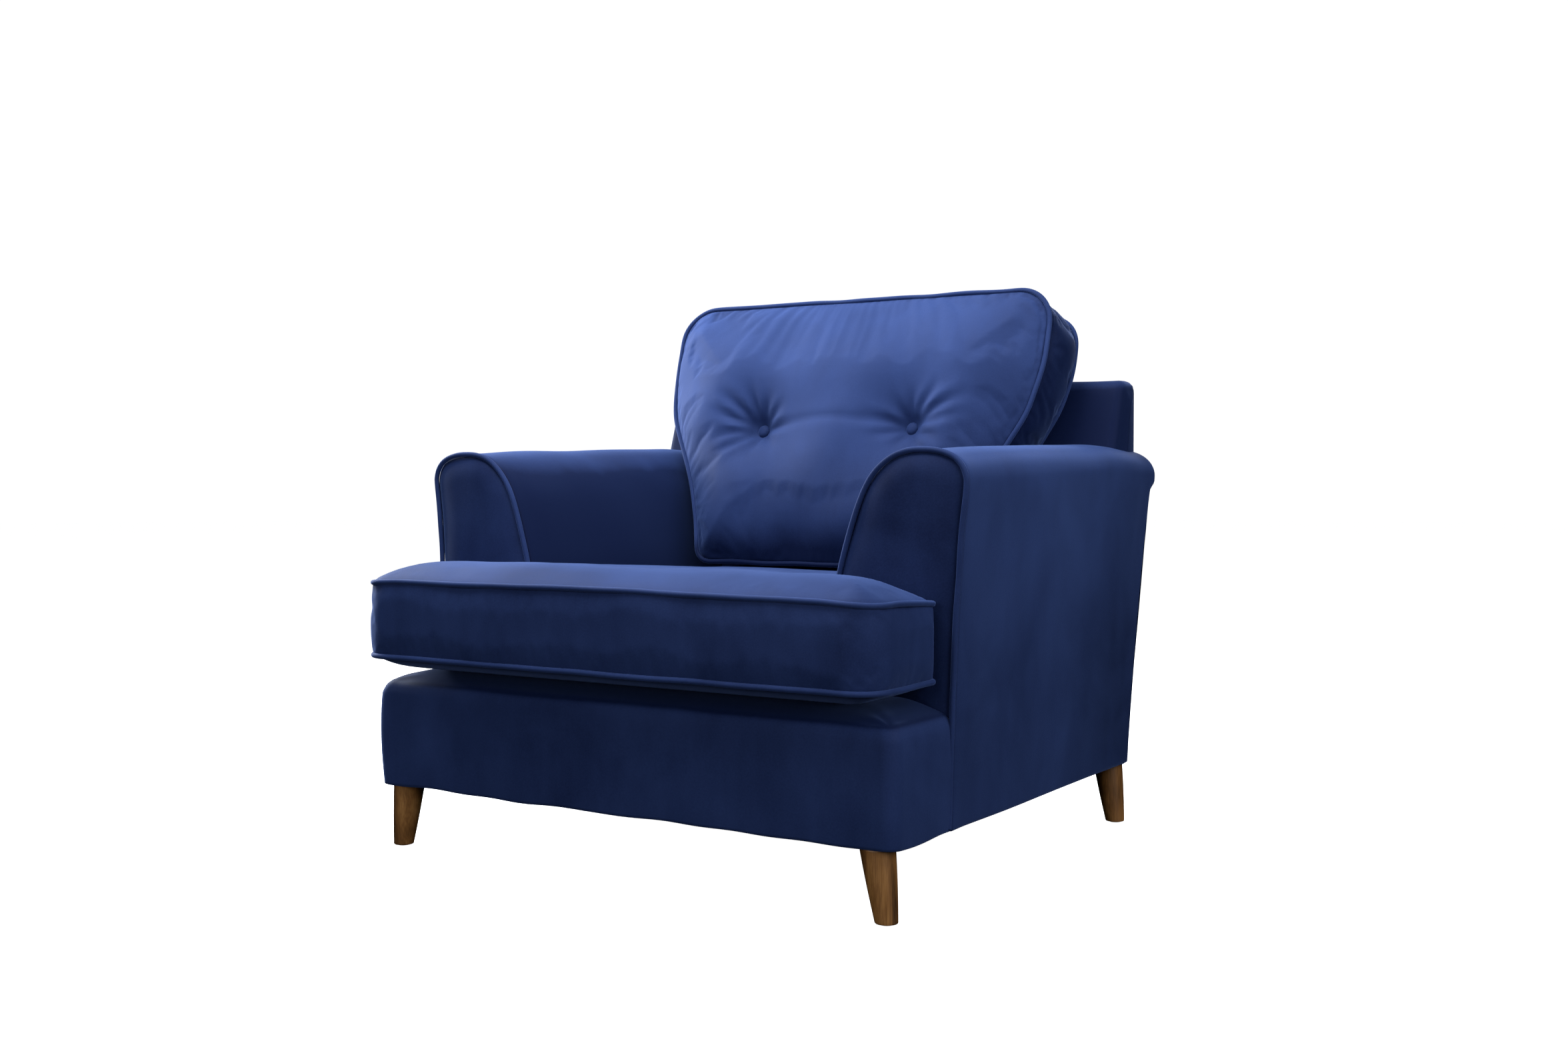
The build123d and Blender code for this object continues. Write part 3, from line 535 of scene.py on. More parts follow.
def armSection(count, first=0):
    # the section's line and its normals, which point away from the arm
    line = smoothCurve(arm["outline"][first:], count)
    n = -outward(line)
    return line, n if n[count // 2, 1] > 0 else -n


def armCover(name, side):
    # the section carried back from the front seam; its crest rises, and its rear end turns in and closes
    line, n = armSection(arm["columns"])
    z = line[:, 1]
    atRoll = smoothStep((z - arm["lip"]) / 0.016)
    over = np.clip((z - arm["lip"] - 0.018) / (chair["armCrest"] - arm["lip"] - 0.018), 0, 1)
    atRoll *= smoothStep((line[:, 0] - 0.395) / 0.04)
    endY = rearFace(z) + (arm["rollEndY"] - rearFace(z)) * atRoll
    endY = endY - arm["rollTurn"] * (1 - np.sqrt(1 - 0.98 * over**2))
    turn, turnIn, turnDeep = arm["frontTurn"], arm["turnIn"], arm["turnDeep"]
    grid = []
    for a in np.linspace(0, 1, 6)[:-1]:
        t = math.sin(a * math.pi / 2)
        y = np.full(len(z), armFrontY + 0.001 + turn * t)
        grid.append(np.column_stack([line - n * turn * (1 - t), y]))
    startY = grid[-1][:, 2] + 0.002
    for t in np.linspace(0, 1, arm["rows"]):
        grid.append(np.column_stack([line, startY + (endY - turnDeep - startY) * t]))
    for a in np.linspace(0, math.pi / 2, 10)[1:]:
        inward = turnIn * (1 - math.cos(a))
        grid.append(np.column_stack([line - n * inward, endY - turnDeep * (1 - math.sin(a))]))
    spine = np.column_stack([np.full(len(z), 0.41), np.minimum(z, 0.60)])
    last = grid[-1]
    for f in (0.15, 0.4, 0.7, 0.99):
        grid.append(np.column_stack([last[:, :2] * (1 - f) + spine * f, last[:, 2]]))
    g = np.stack(grid)
    x, y, z = g[..., 0], g[..., 2], g[..., 1]
    depth = np.clip((y - armFrontY) / (arm["rollEndY"] - armFrontY), 0, 1)
    climb = arm["rise"] * depth - arm["rearDrop"] * smoothStep((y - 0.27) / 0.17)
    z = z + climb * smoothStep((z - 0.30) / 0.30)
    p = np.stack([x, y, z], axis=-1)
    soft = wave(p.reshape(-1, 3) * [1, 1, 0.7], 0.26, side).reshape(x.shape) * arm["puff"]
    fade = smoothStep((y - armFrontY) / 0.06) * smoothStep((arm["rollEndY"] - 0.03 - y) / 0.06)
    p[..., 0] += np.where(x > 0.44, 1, -1) * soft * fade * smoothStep((0.62 - z) / 0.05)
    p[..., 2] += soft * fade * smoothStep((z - 0.60) / 0.03)
    # painted light and shade: the outer side lighter towards the top and darker towards the rear, the inner face
    # darker below the crest
    outer = smoothStep((x - 0.44) / 0.03)
    nap = outer * (-0.02 + 0.28 * smoothStep((z - 0.20) / 0.36) - 0.22 * smoothStep((y - 0.05) / 0.40))
    nap -= 0.45 * (1 - outer) * smoothStep((0.635 - z) / 0.04)
    p[..., 0] *= side
    piece = skin(name, p)
    return recalc(paintShading(piece, nap.ravel()))


def armPanel(name, side):
    # front panel inside the piping: rings drawn in from the seam towards a spine, fullest near the middle
    line, n = armSection(200, first=3)
    edge = line - n * 0.0045
    edge = edge[(edge[:, 1] > 0.262) | (edge[:, 0] < 0.30)]
    bottom = np.column_stack([np.linspace(edge[-1, 0], edge[0, 0], 40)[1:-1], np.full(38, edge[-1, 1])])
    ring = resample(np.vstack([edge, bottom]), 240, closed=True)
    spine = np.column_stack([0.385 + 0.045 * (ring[:, 1] - 0.26) / 0.38, np.clip(ring[:, 1], 0.32, 0.575)])
    grid = []
    for f in np.linspace(0, 1, 26):
        reach = 1 - (1 - f) ** 1.3
        flat = ring * (1 - reach) + spine * reach
        full = 0.0110 * (1 - (1 - min(1, f * 1.7)) ** 2.6) - 0.003 * (1 - min(1, f * 9)) ** 2
        grid.append(np.column_stack([flat[:, 0], np.full(len(flat), armFrontY - full), flat[:, 1]]))
    p = np.stack(grid)
    p[..., 1] += wave(p.reshape(-1, 3), 0.16, 4 + side).reshape(p.shape[:2]) * 0.0009
    # painted shade over the panel, with a painted highlight near its inner lower edge
    nap = -0.16 + 0.34 * smoothStep((0.345 - p[..., 0]) / 0.05) * smoothStep((0.50 - p[..., 2]) / 0.15)
    p[..., 0] *= side
    return recalc(paintShading(skin(name, p, closeColumns=True), nap.ravel()))


def armPiping(name, side):
    line, n = armSection(420, first=2)
    line = line - n * 0.002
    path = np.column_stack([line[:, 0], np.full(len(line), armFrontY - 0.0012), line[:, 1]])
    path += 0.0005 * np.stack([wave(path, 0.09, k + side) for k in (11, 12, 13)], axis=1)
    path[:, 0] *= side
    return recalc(tube(name, path, chair["pipe"]))


armCovers = list(both(armCover, "armCover", "velvet", "frame", ["arm_cover", "arm_pad"]))
armPanels = list(both(armPanel, "armFrontPanel", "velvet", "frame", ["arm_front_panel"]))
list(both(armPiping, "armPiping", "velvet_piping", "frame", ["arm_piping"]))
for piece in armCovers + armPanels:
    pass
print("arms ready")

base = {
    "profile": [  # inset and height, from the turned hem up to the crown under the seat cushion
        (0.022, 0.1040), (0.008, 0.1020), (0.0015, 0.1030), (0.0, 0.1080), (-0.0025, 0.150), (-0.0035, 0.200),
        (-0.0020, 0.245), (0.0010, 0.258), (0.0060, 0.2665), (0.0150, 0.2725), (0.040, 0.2815), (0.070, 0.2880),
        (0.110, 0.2890), (0.150, 0.2885),
    ],
    "deckProfile": ((0.004, 0.263), (0.0, 0.268), (0.0, 0.280), (0.003, 0.286), (0.010, 0.2885), (0.030, 0.2888)),
    "rows": 90,
    "columns": 420,
    "corner": 0.022,
    "hemWave": 0.0012,
}


def baseFront():
    # the profile carried round a U from one arm seam to the other, drawn in by its inset at each row
    half, front, end = 0.478, chair["baseFrontY"], armFrontY + 0.0005
    grid = []
    for inset, z in smoothCurve(base["profile"], base["rows"]):
        r = max(base["corner"] - 0.15 * max(inset, 0), 0.004)
        x, y = half - inset, front + inset
        corners = [(-x, end), (-x, y), (x, y), (x, end)]
        flat = roundedPath(corners, [0, r, r, 0], base["columns"], closed=False)
        grid.append(np.column_stack([flat, np.full(len(flat), z)]))
    p = np.stack(grid)
    low = smoothStep((0.135 - p[..., 2]) / 0.03)
    ripple = wave(p.reshape(-1, 3) * [1, 1, 0], 0.15, 21).reshape(low.shape)
    p[..., 2] += ripple * low * base["hemWave"]
    face = smoothStep((front + 0.03 - p[..., 1]) / 0.02)
    p[..., 1] -= wave(p.reshape(-1, 3), 0.2, 22).reshape(low.shape) * 0.0009 * face
    # small tucks at the two top corners
    for side in (-1, 1):
        d = np.hypot(p[..., 0] - side * (half - 0.012), p[..., 1] - front - 0.012)
        angle = np.arctan2(p[..., 1] - front - 0.012, side * (p[..., 0] - side * (half - 0.012)))
        tuck = np.exp(-((d - 0.03) / 0.022) ** 2) * np.cos(angle * 9)
        p[..., 2] += 0.0011 * tuck * smoothStep((p[..., 2] - 0.262) / 0.01)
    # painted shade along the top edge, in the gap under the seat cushion
    return recalc(paintShading(skin("baseFront", p), (-0.5 * smoothStep((p[..., 2] - 0.262) / 0.010)).ravel()))


def deck():
    # low padded platform between the arms
    half, front, rear = 0.2775, armFrontY - 0.10, 0.236
    rings = []
    for inset, z in base["deckProfile"]:
        x, low, high = half - inset, front + inset, rear - inset
        flat = roundedPath([(-x, low), (x, low), (x, high), (-x, high)], [0.012] * 4, 240)
        rings.append(np.column_stack([flat, np.full(len(flat), z)]))
    return stack("deck", rings)


back = {
    "rows": 120,
    "columns": 170,
    "endTurn": 0.016,
    "puff": 0.0018,
}
tanLean = math.tan(chair["lean"])


def innerFace(z):
    return 0.2375 + (z - chair["deck"]) * tanLean


def backCover():
    # section up the leaning face, over the top and down behind, carried across the chair
    top, rear = chair["backTop"], chair["rearY"] - 0.004
    corners = [(innerFace(0.262), 0.262), (innerFace(top), top), (rear, top), (rear, 0.262)]
    section = roundedPath(corners, [0, 0.026, 0.022, 0], back["rows"], closed=False)
    section = resample(section, back["rows"])
    n = outward(section)
    n = n if n[back["rows"] // 4, 0] < 0 else -n
    z = section[:, 1]
    # below the arm rolls its ends run just into the arms' inner faces
    innerX, innerZ = np.array(arm["outline"][:14:-1]).T
    reach = np.interp(z, innerZ, innerX) + 0.014
    reach = reach + (0.475 - reach) * smoothStep((z - 0.55) / 0.06)
    turn = back["endTurn"]
    half = []
    for f in np.linspace(0, 1, back["columns"] // 2):
        half.append(np.column_stack([(reach - turn) * f, section]))
    for a in np.linspace(0, math.pi / 2, 9)[1:]:
        x = reach - turn * (1 - math.sin(a))
        half.append(np.column_stack([x, section - n * turn * (1 - math.cos(a))]))
    last = half[-1]
    middle = (innerFace(last[:, 2]) + rear) / 2
    spine = np.column_stack([last[:, 0] + 0.004, middle, np.minimum(last[:, 2], top - 0.045)])
    for f in (0.2, 0.5, 0.8, 0.99):
        target = last * (1 - f) + spine * f
        target[:, 0] = last[:, 0] + 0.004 * math.sin(f * math.pi / 2)
        half.append(target)
    half = np.stack(half)
    g = np.concatenate([half[:0:-1] * [-1, 1, 1], half])
    full = (1 - np.abs(g[..., 0] / 0.475) ** 4) * smoothStep((g[..., 2] - 0.5) / 0.1)
    soft = wave(g.reshape(-1, 3), 0.22, 31).reshape(full.shape) * 0.0013
    g[..., 2] += (soft - 0.001) * smoothStep((g[..., 2] - top + 0.03) / 0.02)
    g[..., 1] -= (back["puff"] * full + soft) * smoothStep((innerFace(g[..., 2]) + 0.01 - g[..., 1]) / 0.01)
    g[..., 1] = np.minimum(g[..., 1], rearFace(g[..., 2]) - 0.003)
    # painted shade over the whole cover below its top edge, behind the back cushion
    return recalc(paintShading(skin("backCover", g), (-0.42 * smoothStep((0.765 - g[..., 2]) / 0.02)).ravel()))


def outsideBack():
    # one panel up the back, a little full, its edges turned forward
    hem, crown = [0.1020, 0.1022, 0.1045], [0.752, 0.757, 0.760, 0.7615]
    zs = np.concatenate([hem, np.linspace(0.110, 0.745, 110), crown])
    turned = np.concatenate([[0.018, 0.006, 0.001], np.zeros(110), [0.0006, 0.002, 0.0045, 0.009]])
    rim = np.array([0.985, 0.993, 0.9975, 1.0])
    us = np.concatenate([-rim[::-1], np.linspace(-0.97, 0.97, 120), rim])
    below = 0.4765 + 0.024 * np.clip((zs - 0.101) / 0.487, 0, 1)
    width = below + (0.473 - below) * smoothStep((zs - 0.586) / 0.02)
    x = us[None, :] * width[:, None]
    z = np.broadcast_to(zs[:, None], x.shape)
    edge = np.clip((np.abs(us) - 0.97) / 0.03, 0, 1) ** 2 * 0.012
    full = 0.003 * (1 - us**6)[None, :] * np.sin(np.clip((zs - 0.1) / 0.66, 0, 1) * math.pi)[:, None] ** 0.5
    y = rearFace(z) + 0.0005 + full - edge[None, :] - turned[:, None]
    p = np.stack([x, y, z], axis=-1)
    p[..., 1] += wave(p.reshape(-1, 3), 0.3, 41).reshape(x.shape) * 0.0009
    return recalc(skin("outsideBack", p))


frontPiece = place(baseFront(), "frame", "velvet", "base_front_cover", "base_front_pad")
deckPiece = place(deck(), "frame", "velvet", "deck_pad", "spring_sheet")
backPiece = place(backCover(), "frame", "velvet", "inside_back_cover", "back_pad", "back_webbing")
outsidePiece = place(outsideBack(), "frame", "velvet", "outside_back_panel")
print("base and back ready")

seat = {
    "half": 0.467, "front": -0.4695, "ear": -0.284, "throat": 0.2655, "rear": 0.2366,
    "low": 0.316, "high": 0.436, "under": 0.2895,
    "crown": 0.0375, "crownWidth": 0.105, "rake": math.radians(3.5),
    "radii": (0.044, 0.018, 0.014, 0.018),
    "pipe": 0.0042,
    "voxel": 0.0055,
    "pressure": 4.0,
    "cap": 0.024,
    "slack": 0.004,
}


def seatOutline(inset, count=900):
    # T-shaped plan, front corners rounded wide; a negative inset lies outside the seam
    h, f, e, t, r = (seat[k] for k in ("half", "front", "ear", "throat", "rear"))
    right = [(h - inset, f + inset), (h - inset, e - inset), (t - inset, e - inset), (t - inset, r - inset)]
    corners = right + [(-x, y) for x, y in reversed(right)]
    a, b, c, d = seat["radii"]
    radii = [max(radius, 0.006) for radius in (a - inset, b - inset, c + inset, d - inset)]
    return roundedPath(corners, radii + radii[::-1], count)


def seatFall(p):
    # the upper part of the cushion slopes down towards the back, the lower seam stays level
    share = np.clip((p[:, 2] - seat["low"]) / (seat["high"] - seat["low"]), 0, 1)
    return np.maximum(p[:, 1] - seat["front"], 0) * math.tan(seat["rake"]) * share


def seatCushion():
    # a slab with a tall border; blown up against its pinned seams, then laid flat where it rests
    seams = ((0.0, seat["low"]), (0.0, 0.376), (0.0, seat["high"]))
    levels = ((0.070, 0.2915), (0.030, 0.300), *seams, (0.020, 0.450), (0.060, 0.462))
    rings = [np.column_stack([seatOutline(inset, 600), np.full(600, z)]) for inset, z in levels]
    piece = stack("seatCushion", rings)
    voxels(piece, seat["voxel"])
    co = points(piece)
    outline = seatOutline(0.0)
    far = edgeDistance(co[:, :2], outline)
    seam = (far < 0.007) & (np.minimum(abs(co[:, 2] - seat["low"]), abs(co[:, 2] - seat["high"])) < 0.0045)
    settle(piece, seam, seat["cap"], seat["pressure"], seat["slack"])
    co = points(piece)
    far = edgeDistance(co[:, :2], outline)
    # crown: rises fast from the seam and levels off
    crown = seat["crown"] * (1 - (1 - np.clip(far / seat["crownWidth"], 0, 1)) ** 2.5)
    ends = smoothStep((np.abs(co[:, 0]) - 0.30) / 0.17)
    shape = seat["high"] + crown - 0.006 * ends * smoothStep(far / 0.03)
    shape += 0.0016 * wave(co * [1, 1, 0], 0.24, 51) * smoothStep(far / 0.05)
    upper = smoothStep((co[:, 2] - seat["high"] + 0.001) / 0.005)
    blown = np.clip(co[:, 2] - shape, -0.003, 0.003) * smoothStep(far / 0.03)
    co[:, 2] = co[:, 2] * (1 - upper) + (shape + blown * 0.35) * upper
    lower = smoothStep((seat["low"] + 0.001 - co[:, 2]) / 0.006)
    sag = seat["low"] - 0.0262 * (1 - (1 - np.clip(far / 0.11, 0, 1)) ** 2.4)
    co[:, 2] = co[:, 2] * (1 - lower) + sag * lower
    # border: fuller between its seams, straight at the arms
    middle = np.clip((co[:, 2] - seat["low"]) / (seat["high"] - seat["low"]), 0, 1)
    sideways = np.sign(co[:, 0]) * smoothStep((np.abs(co[:, 0]) - 0.44) / 0.02)
    n = np.column_stack([sideways, -smoothStep((-0.43 - co[:, 1]) / 0.02)])
    swell = 0.0040 * np.sin(middle * math.pi) ** 0.7 + 0.0010 * wave(co, 0.15, 52)
    co[:, :2] += n * (swell * smoothStep((0.014 - far) / 0.008) * (middle > 0) * (middle < 1))[:, None]
    co[:, 2] -= seatFall(co)
    # clear of the arms, the inside back and the deck
    behind = co[:, 1] > seat["ear"] + 0.012
    co[behind, 0] = np.clip(co[behind, 0], -0.2715, 0.2715)
    ears = np.abs(co[:, 0]) > 0.275
    co[ears, 1] = np.minimum(co[ears, 1], -0.2765)
    co[:, 1] = np.clip(co[:, 1], -0.4762, innerFace(co[:, 2]) - 0.002)
    co[:, 2] = np.maximum(co[:, 2], seat["under"])
    co[:, :2] = np.clip(co[:, :2], [-0.4742, -1], [0.4742, 1])
    setPoints(piece, co)
    # painted light on the top, painted shade towards the two ends, on the border and strongest on the underside
    endShade = smoothStep((np.abs(co[:, 0]) - 0.25) / 0.2)
    paintShading(piece, upper * (0.10 - 0.14 * endShade) - 0.03 * (1 - upper) - 0.45 * lower)
    return subdivide(piece)


def seatPiping(name, z, shift):
    # round cord along the seam; it wanders a little, and the upper one dips at the corners
    flat = seatOutline(-0.0012, 1300)
    path = np.column_stack([flat, np.full(len(flat), z)])
    if z > 0.4:
        corner = smoothStep((np.abs(flat[:, 0]) - 0.38) / 0.09) * smoothStep((-0.38 - flat[:, 1]) / 0.08)
        path[:, 2] -= 0.0035 * corner
        middle = smoothStep((0.25 - np.abs(flat[:, 0])) / 0.25)
        path[:, 2] += 0.0022 * middle * smoothStep((-0.44 - flat[:, 1]) / 0.02)
    path[:, 2] -= seatFall(path)
    path += np.stack([wave(path, 0.10, shift + k) * 0.0004 for k in range(3)], axis=1)
    path[:, :2] = np.clip(path[:, :2], [-0.4755, -0.4755], [0.4755, 1])
    return recalc(tube(name, path, seat["pipe"], closed=True))


seatPiece = place(seatCushion(), "seat_cushion", "velvet", "seat_cushion_cover", "seat_cushion_foam")
place(seatPiping("seatPipingTop", seat["high"], 61), "seat_cushion", "velvet_piping", "seat_piping_top")
place(seatPiping("seatPipingBottom", seat["low"], 65), "seat_cushion", "velvet_piping", "seat_piping_bottom")
print("seat cushion ready")

cushion = {
    "halfFoot": 0.262, "halfWaist": 0.298, "waist": 0.142, "halfShoulder": 0.369, "shoulder": 0.293,
    "halfTop": 0.383, "length": 0.501, "footTurn": 0.030, "topTurn": 0.064,
    "deep": 0.124,
    "crown": 0.047,
    "rearCrown": 0.0035,
    "voxel": 0.0055,
    "pressure": 4.0,
    "cap": 0.022,
    "buttonX": 0.155, "buttonUp": 0.248, "buttonDepth": -0.004, "buttonRadius": 0.0122,
    "pipe": 0.0042,
}
zipLow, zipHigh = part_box("back_cushion_zip")
foot = np.array([0.0, (zipLow.y + zipHigh.y) / 2 - 0.0744 / math.cos(chair["lean"]), zipHigh.z])
lean = chair["lean"]
axes = np.array([[1, 0, 0], [0, math.sin(lean), math.cos(lean)], [0, math.cos(lean), -math.sin(lean)]])


def cushionWorld(p):
    # across, up the lean and into the depth, to the chair's own axes
    return foot + p @ axes


def cushionLocal(p):
    return (p - foot) @ axes.T


def cushionOutline(depth, inset, count=700):
    # shape of the seam at a depth: its foot stays level as the depth grows
    c = cushion
    level = depth * tanLean
    low, top = level + inset, c["length"] - inset
    keys = ("halfFoot", "halfWaist", "halfShoulder", "halfTop")
    footX, waistX, shoulderX, topX = (c[k] - inset for k in keys)
    r, q = c["topTurn"] - 0.4 * inset, c["footTurn"]
    a = np.linspace(0, math.pi / 2, 24)
    footArc = np.column_stack([footX - q + q * np.sin(a), low + q - q * np.cos(a)])
    sides = smoothCurve([
        footArc[-1],
        (waistX, level + c["waist"]),
        (shoulderX - 0.014, level + c["shoulder"] - 0.038),
        (shoulderX + 0.003, level + c["shoulder"] + 0.012),
        (topX - 0.001, level + 0.369),
        (topX, top - r),
    ], 200)
    topArc = np.column_stack([topX - r + r * np.cos(a), top - r + r * np.sin(a)])
    right = np.vstack([[[0.0, low]], footArc, sides[1:-1], topArc, [[0.0, top]]])
    loop = resample(np.vstack([right, (right * [-1, 1])[-2:0:-1]]), 1400, closed=True)
    # joints between arcs and runs are eased by a running mean
    eased = sum(np.roll(loop, k, 0) for k in range(-8, 9)) / 17
    return resample(eased, count, closed=True)


def atDepth(flat, depth):
    return np.column_stack([flat, np.full(len(flat), depth)])


creases = [  # button, direction in degrees, length, depth and width, bend
    (1, 8, 0.125, 0.0050, 0.0080, 0.3), (1, 30, 0.150, 0.0062, 0.0085, -0.3),
    (1, 52, 0.115, 0.0045, 0.0075, 0.2), (1, 84, 0.080, 0.0032, 0.0070, 0.2),
    (1, 125, 0.080, 0.0030, 0.0075, -0.3), (1, 165, 0.110, 0.0040, 0.0080, 0.4),
    (1, 200, 0.085, 0.0032, 0.0070, -0.2), (1, 245, 0.070, 0.0028, 0.0070, 0.2),
    (1, 300, 0.080, 0.0030, 0.0075, 0.3), (1, 338, 0.095, 0.0038, 0.0075, -0.3),
    (-1, 5, 0.090, 0.0036, 0.0075, -0.3), (-1, 38, 0.085, 0.0034, 0.0070, 0.3),
    (-1, 70, 0.080, 0.0032, 0.0070, 0.2), (-1, 110, 0.105, 0.0044, 0.0075, -0.3),
    (-1, 138, 0.135, 0.0058, 0.0085, 0.2), (-1, 162, 0.130, 0.0055, 0.0080, -0.2),
    (-1, 190, 0.110, 0.0046, 0.0080, 0.3), (-1, 216, 0.115, 0.0046, 0.0075, -0.2),
    (-1, 262, 0.070, 0.0028, 0.0070, 0.2), (-1, 318, 0.075, 0.0030, 0.0070, -0.2),
]


def pulledIn(q):
    # how far the tufts draw the face in: a steep funnel in a wide bowl at each button, and folds
    total = np.zeros(len(q))
    for side in (-1, 1):
        across, up = q[:, 0] - side * cushion["buttonX"], q[:, 1] - cushion["buttonUp"]
        r = np.hypot(across, up)
        total += 0.030 * np.exp(-(r / 0.026) ** 1.25) + 0.021 * np.exp(-(r / 0.082) ** 1.8)
    for side, angle, length, deep, width, bend in creases:
        across, up = q[:, 0] - side * cushion["buttonX"], q[:, 1] - cushion["buttonUp"]
        a = math.radians(angle)
        along = across * math.cos(a) + up * math.sin(a)
        aside = -across * math.sin(a) + up * math.cos(a) - bend * along**2 * 2.2
        fades = smoothStep((along - 0.008) / 0.018) * smoothStep((length - along) / (length * 0.75))
        w = width * (0.6 + 0.9 * np.clip(along / length, 0, 1))
        ridges = 0.45 * np.exp(-((np.abs(aside) - 1.9 * w) / w) ** 2)
        total += deep * fades * (np.exp(-(aside / w) ** 2) - ridges)
    # shallow fold that links the two buttons
    arc = cushion["buttonUp"] + 0.012 - 0.9 * q[:, 0] ** 2
    between = smoothStep((cushion["buttonX"] - np.abs(q[:, 0])) / 0.05)
    total += 0.0022 * np.exp(-((q[:, 1] - arc) / 0.010) ** 2) * between
    return total


def backCushion():
    # a bag with a border between its two seams: blown up against them, then tufted
    deep, crown = cushion["deep"], cushion["crown"] * 0.62
    rings = [atDepth(cushionOutline(deep, 0.050), deep + 0.002), atDepth(cushionOutline(deep, 0.0), deep)]
    rings += [atDepth(cushionOutline(d, 0.0), d) for d in (0.093, 0.062, 0.031, 0.0)]
    for inset in (0.006, 0.018, 0.036, 0.060, 0.090, 0.125, 0.160):
        rise = crown * (1 - (1 - inset / 0.17) ** 2.6)
        rings.append(atDepth(cushionOutline(0, inset), -rise))
    piece = stack("backCushion", [cushionWorld(r) for r in rings])
    voxels(piece, cushion["voxel"])
    q = cushionLocal(points(piece))
    seams = np.zeros(len(q), bool)
    for depth in (0.0, deep):
        outline = atDepth(cushionOutline(depth, 0.0), depth)
        near = np.flatnonzero(np.abs(q[:, 2] - depth) < 0.006)
        gap = edgeDistance(q[near, :2], outline[:, :2])
        seams[near[gap < 0.006]] = True
    settle(piece, seams, cushion["cap"], cushion["pressure"], 0.04)
    q = cushionLocal(points(piece))
    outline = cushionOutline(0, 0.0)
    far = edgeDistance(q[:, :2], outline)
    front = q[:, 2] < 0.004
    # the face is fullest below its middle, where the filling settles
    inside = np.clip(far / 0.17, 0, 1)
    fullness = 1.06 - 0.20 * np.clip((q[:, 1] - 0.17) / 0.33, -0.3, 1)
    ideal = -cushion["crown"] * (1 - (1 - inside) ** 2.5) * fullness
    lumps = 0.0030 * wave(q, 0.17, 71) * smoothStep(far / 0.05)
    share = smoothStep((0.004 - q[:, 2]) / 0.008) * front
    loose = np.clip(q[:, 2] - ideal, -0.006, 0.006)
    face = ideal + 0.5 * loose - lumps + pulledIn(q) * smoothStep(far / 0.04)
    q[:, 2] = q[:, 2] * (1 - share) + face * share
    # border: full between its seams, softly rippled along them
    middle = np.clip(q[:, 2] / deep, 0, 1) * ~front
    rim = smoothStep((0.03 - far) / 0.02) * (middle > 0) * (middle < 1)
    away = q[:, :2] - [0, 0.26]
    away /= np.linalg.norm(away, axis=1)[:, None] + 1e-9
    ripple = 0.0016 * wave(q * [1, 1, 0.3], 0.09, 72)
    q[:, :2] += away * ((0.004 * np.sin(middle * math.pi) + ripple * np.sin(middle * math.pi)) * rim)[:, None]
    q[:, 2] = np.minimum(q[:, 2], deep + cushion["rearCrown"])
    # the ties draw dimples into the rear face too
    reach = np.hypot(np.abs(q[:, 0]) - cushion["buttonX"], q[:, 1] - cushion["buttonUp"])
    q[:, 2] -= 0.011 * np.exp(-((reach / 0.030) ** 2)) * smoothStep((q[:, 2] - deep + 0.01) / 0.006)
    co = cushionWorld(q)
    # it stands flat on the seat, and its sides pass inside the arms
    co[:, 2] = np.maximum(co[:, 2], foot[2] - 0.006)
    co[:, 1] = np.minimum(co[:, 1], innerFace(co[:, 2]) - 0.0008)
    setPoints(piece, co)
    # painted light and shade: dark at the foot, lighter up the face and at its left edge, darker to the right and
    # in the tuft dimples; painted shade on the border and rear
    tone = -0.46 + 0.56 * smoothStep((q[:, 1] + 0.015) / 0.095) + 0.26 * smoothStep((q[:, 1] - 0.10) / 0.25)
    tone += 0.26 * smoothStep((-0.26 - q[:, 0]) / 0.10) - 0.16 * smoothStep((q[:, 0] - 0.20) / 0.15)
    tone -= 7.0 * np.clip(pulledIn(q) - 0.004, 0, 0.03)
    paintShading(piece, share * tone - 0.30 * (1 - share))
    return subdivide(piece)


def cushionPiping(name, depth, shift):
    flat = cushionOutline(depth, -0.0008, 1200)
    q = atDepth(flat, depth)
    q += np.stack([wave(q, 0.10, shift + k) * 0.0008 for k in range(3)], axis=1)
    co = cushionWorld(q)
    co[:, 1] = np.minimum(co[:, 1], innerFace(co[:, 2]) - 0.0052)
    cord = recalc(tube(name, co, cushion["pipe"], closed=True))
    # painted light along the cord, painted shade near the foot
    return paintShading(cord, 0.12 - 0.6 * smoothStep((0.50 - points(cord)[:, 2]) / 0.05))


def button(name, side, depth, height, facing):
    # covered dome: a half-round profile spun about the cushion's depth, uneven where the cloth is gathered
    r = cushion["buttonRadius"]
    dome = [(0.0, 1.0), (0.35, 0.97), (0.68, 0.80), (0.92, 0.46), (1.0, 0.12), (0.93, -0.18), (0.6, -0.30)]
    profile = smoothCurve(dome, 26)
    a = np.linspace(0, 2 * math.pi, 72, endpoint=False)
    radius = profile[:, :1] * r * (1 + 0.012 * np.cos(a * 9)[None, :] * profile[:, :1])
    q = np.stack([
        side * cushion["buttonX"] + radius * np.cos(a),
        cushion["buttonUp"] + radius * np.sin(a),
        np.broadcast_to(depth - facing * height * profile[:, 1:], radius.shape),
    ], axis=-1)
    return recalc(skin(name, cushionWorld(q.reshape(-1, 3)).reshape(q.shape), closeColumns=True, caps=True))


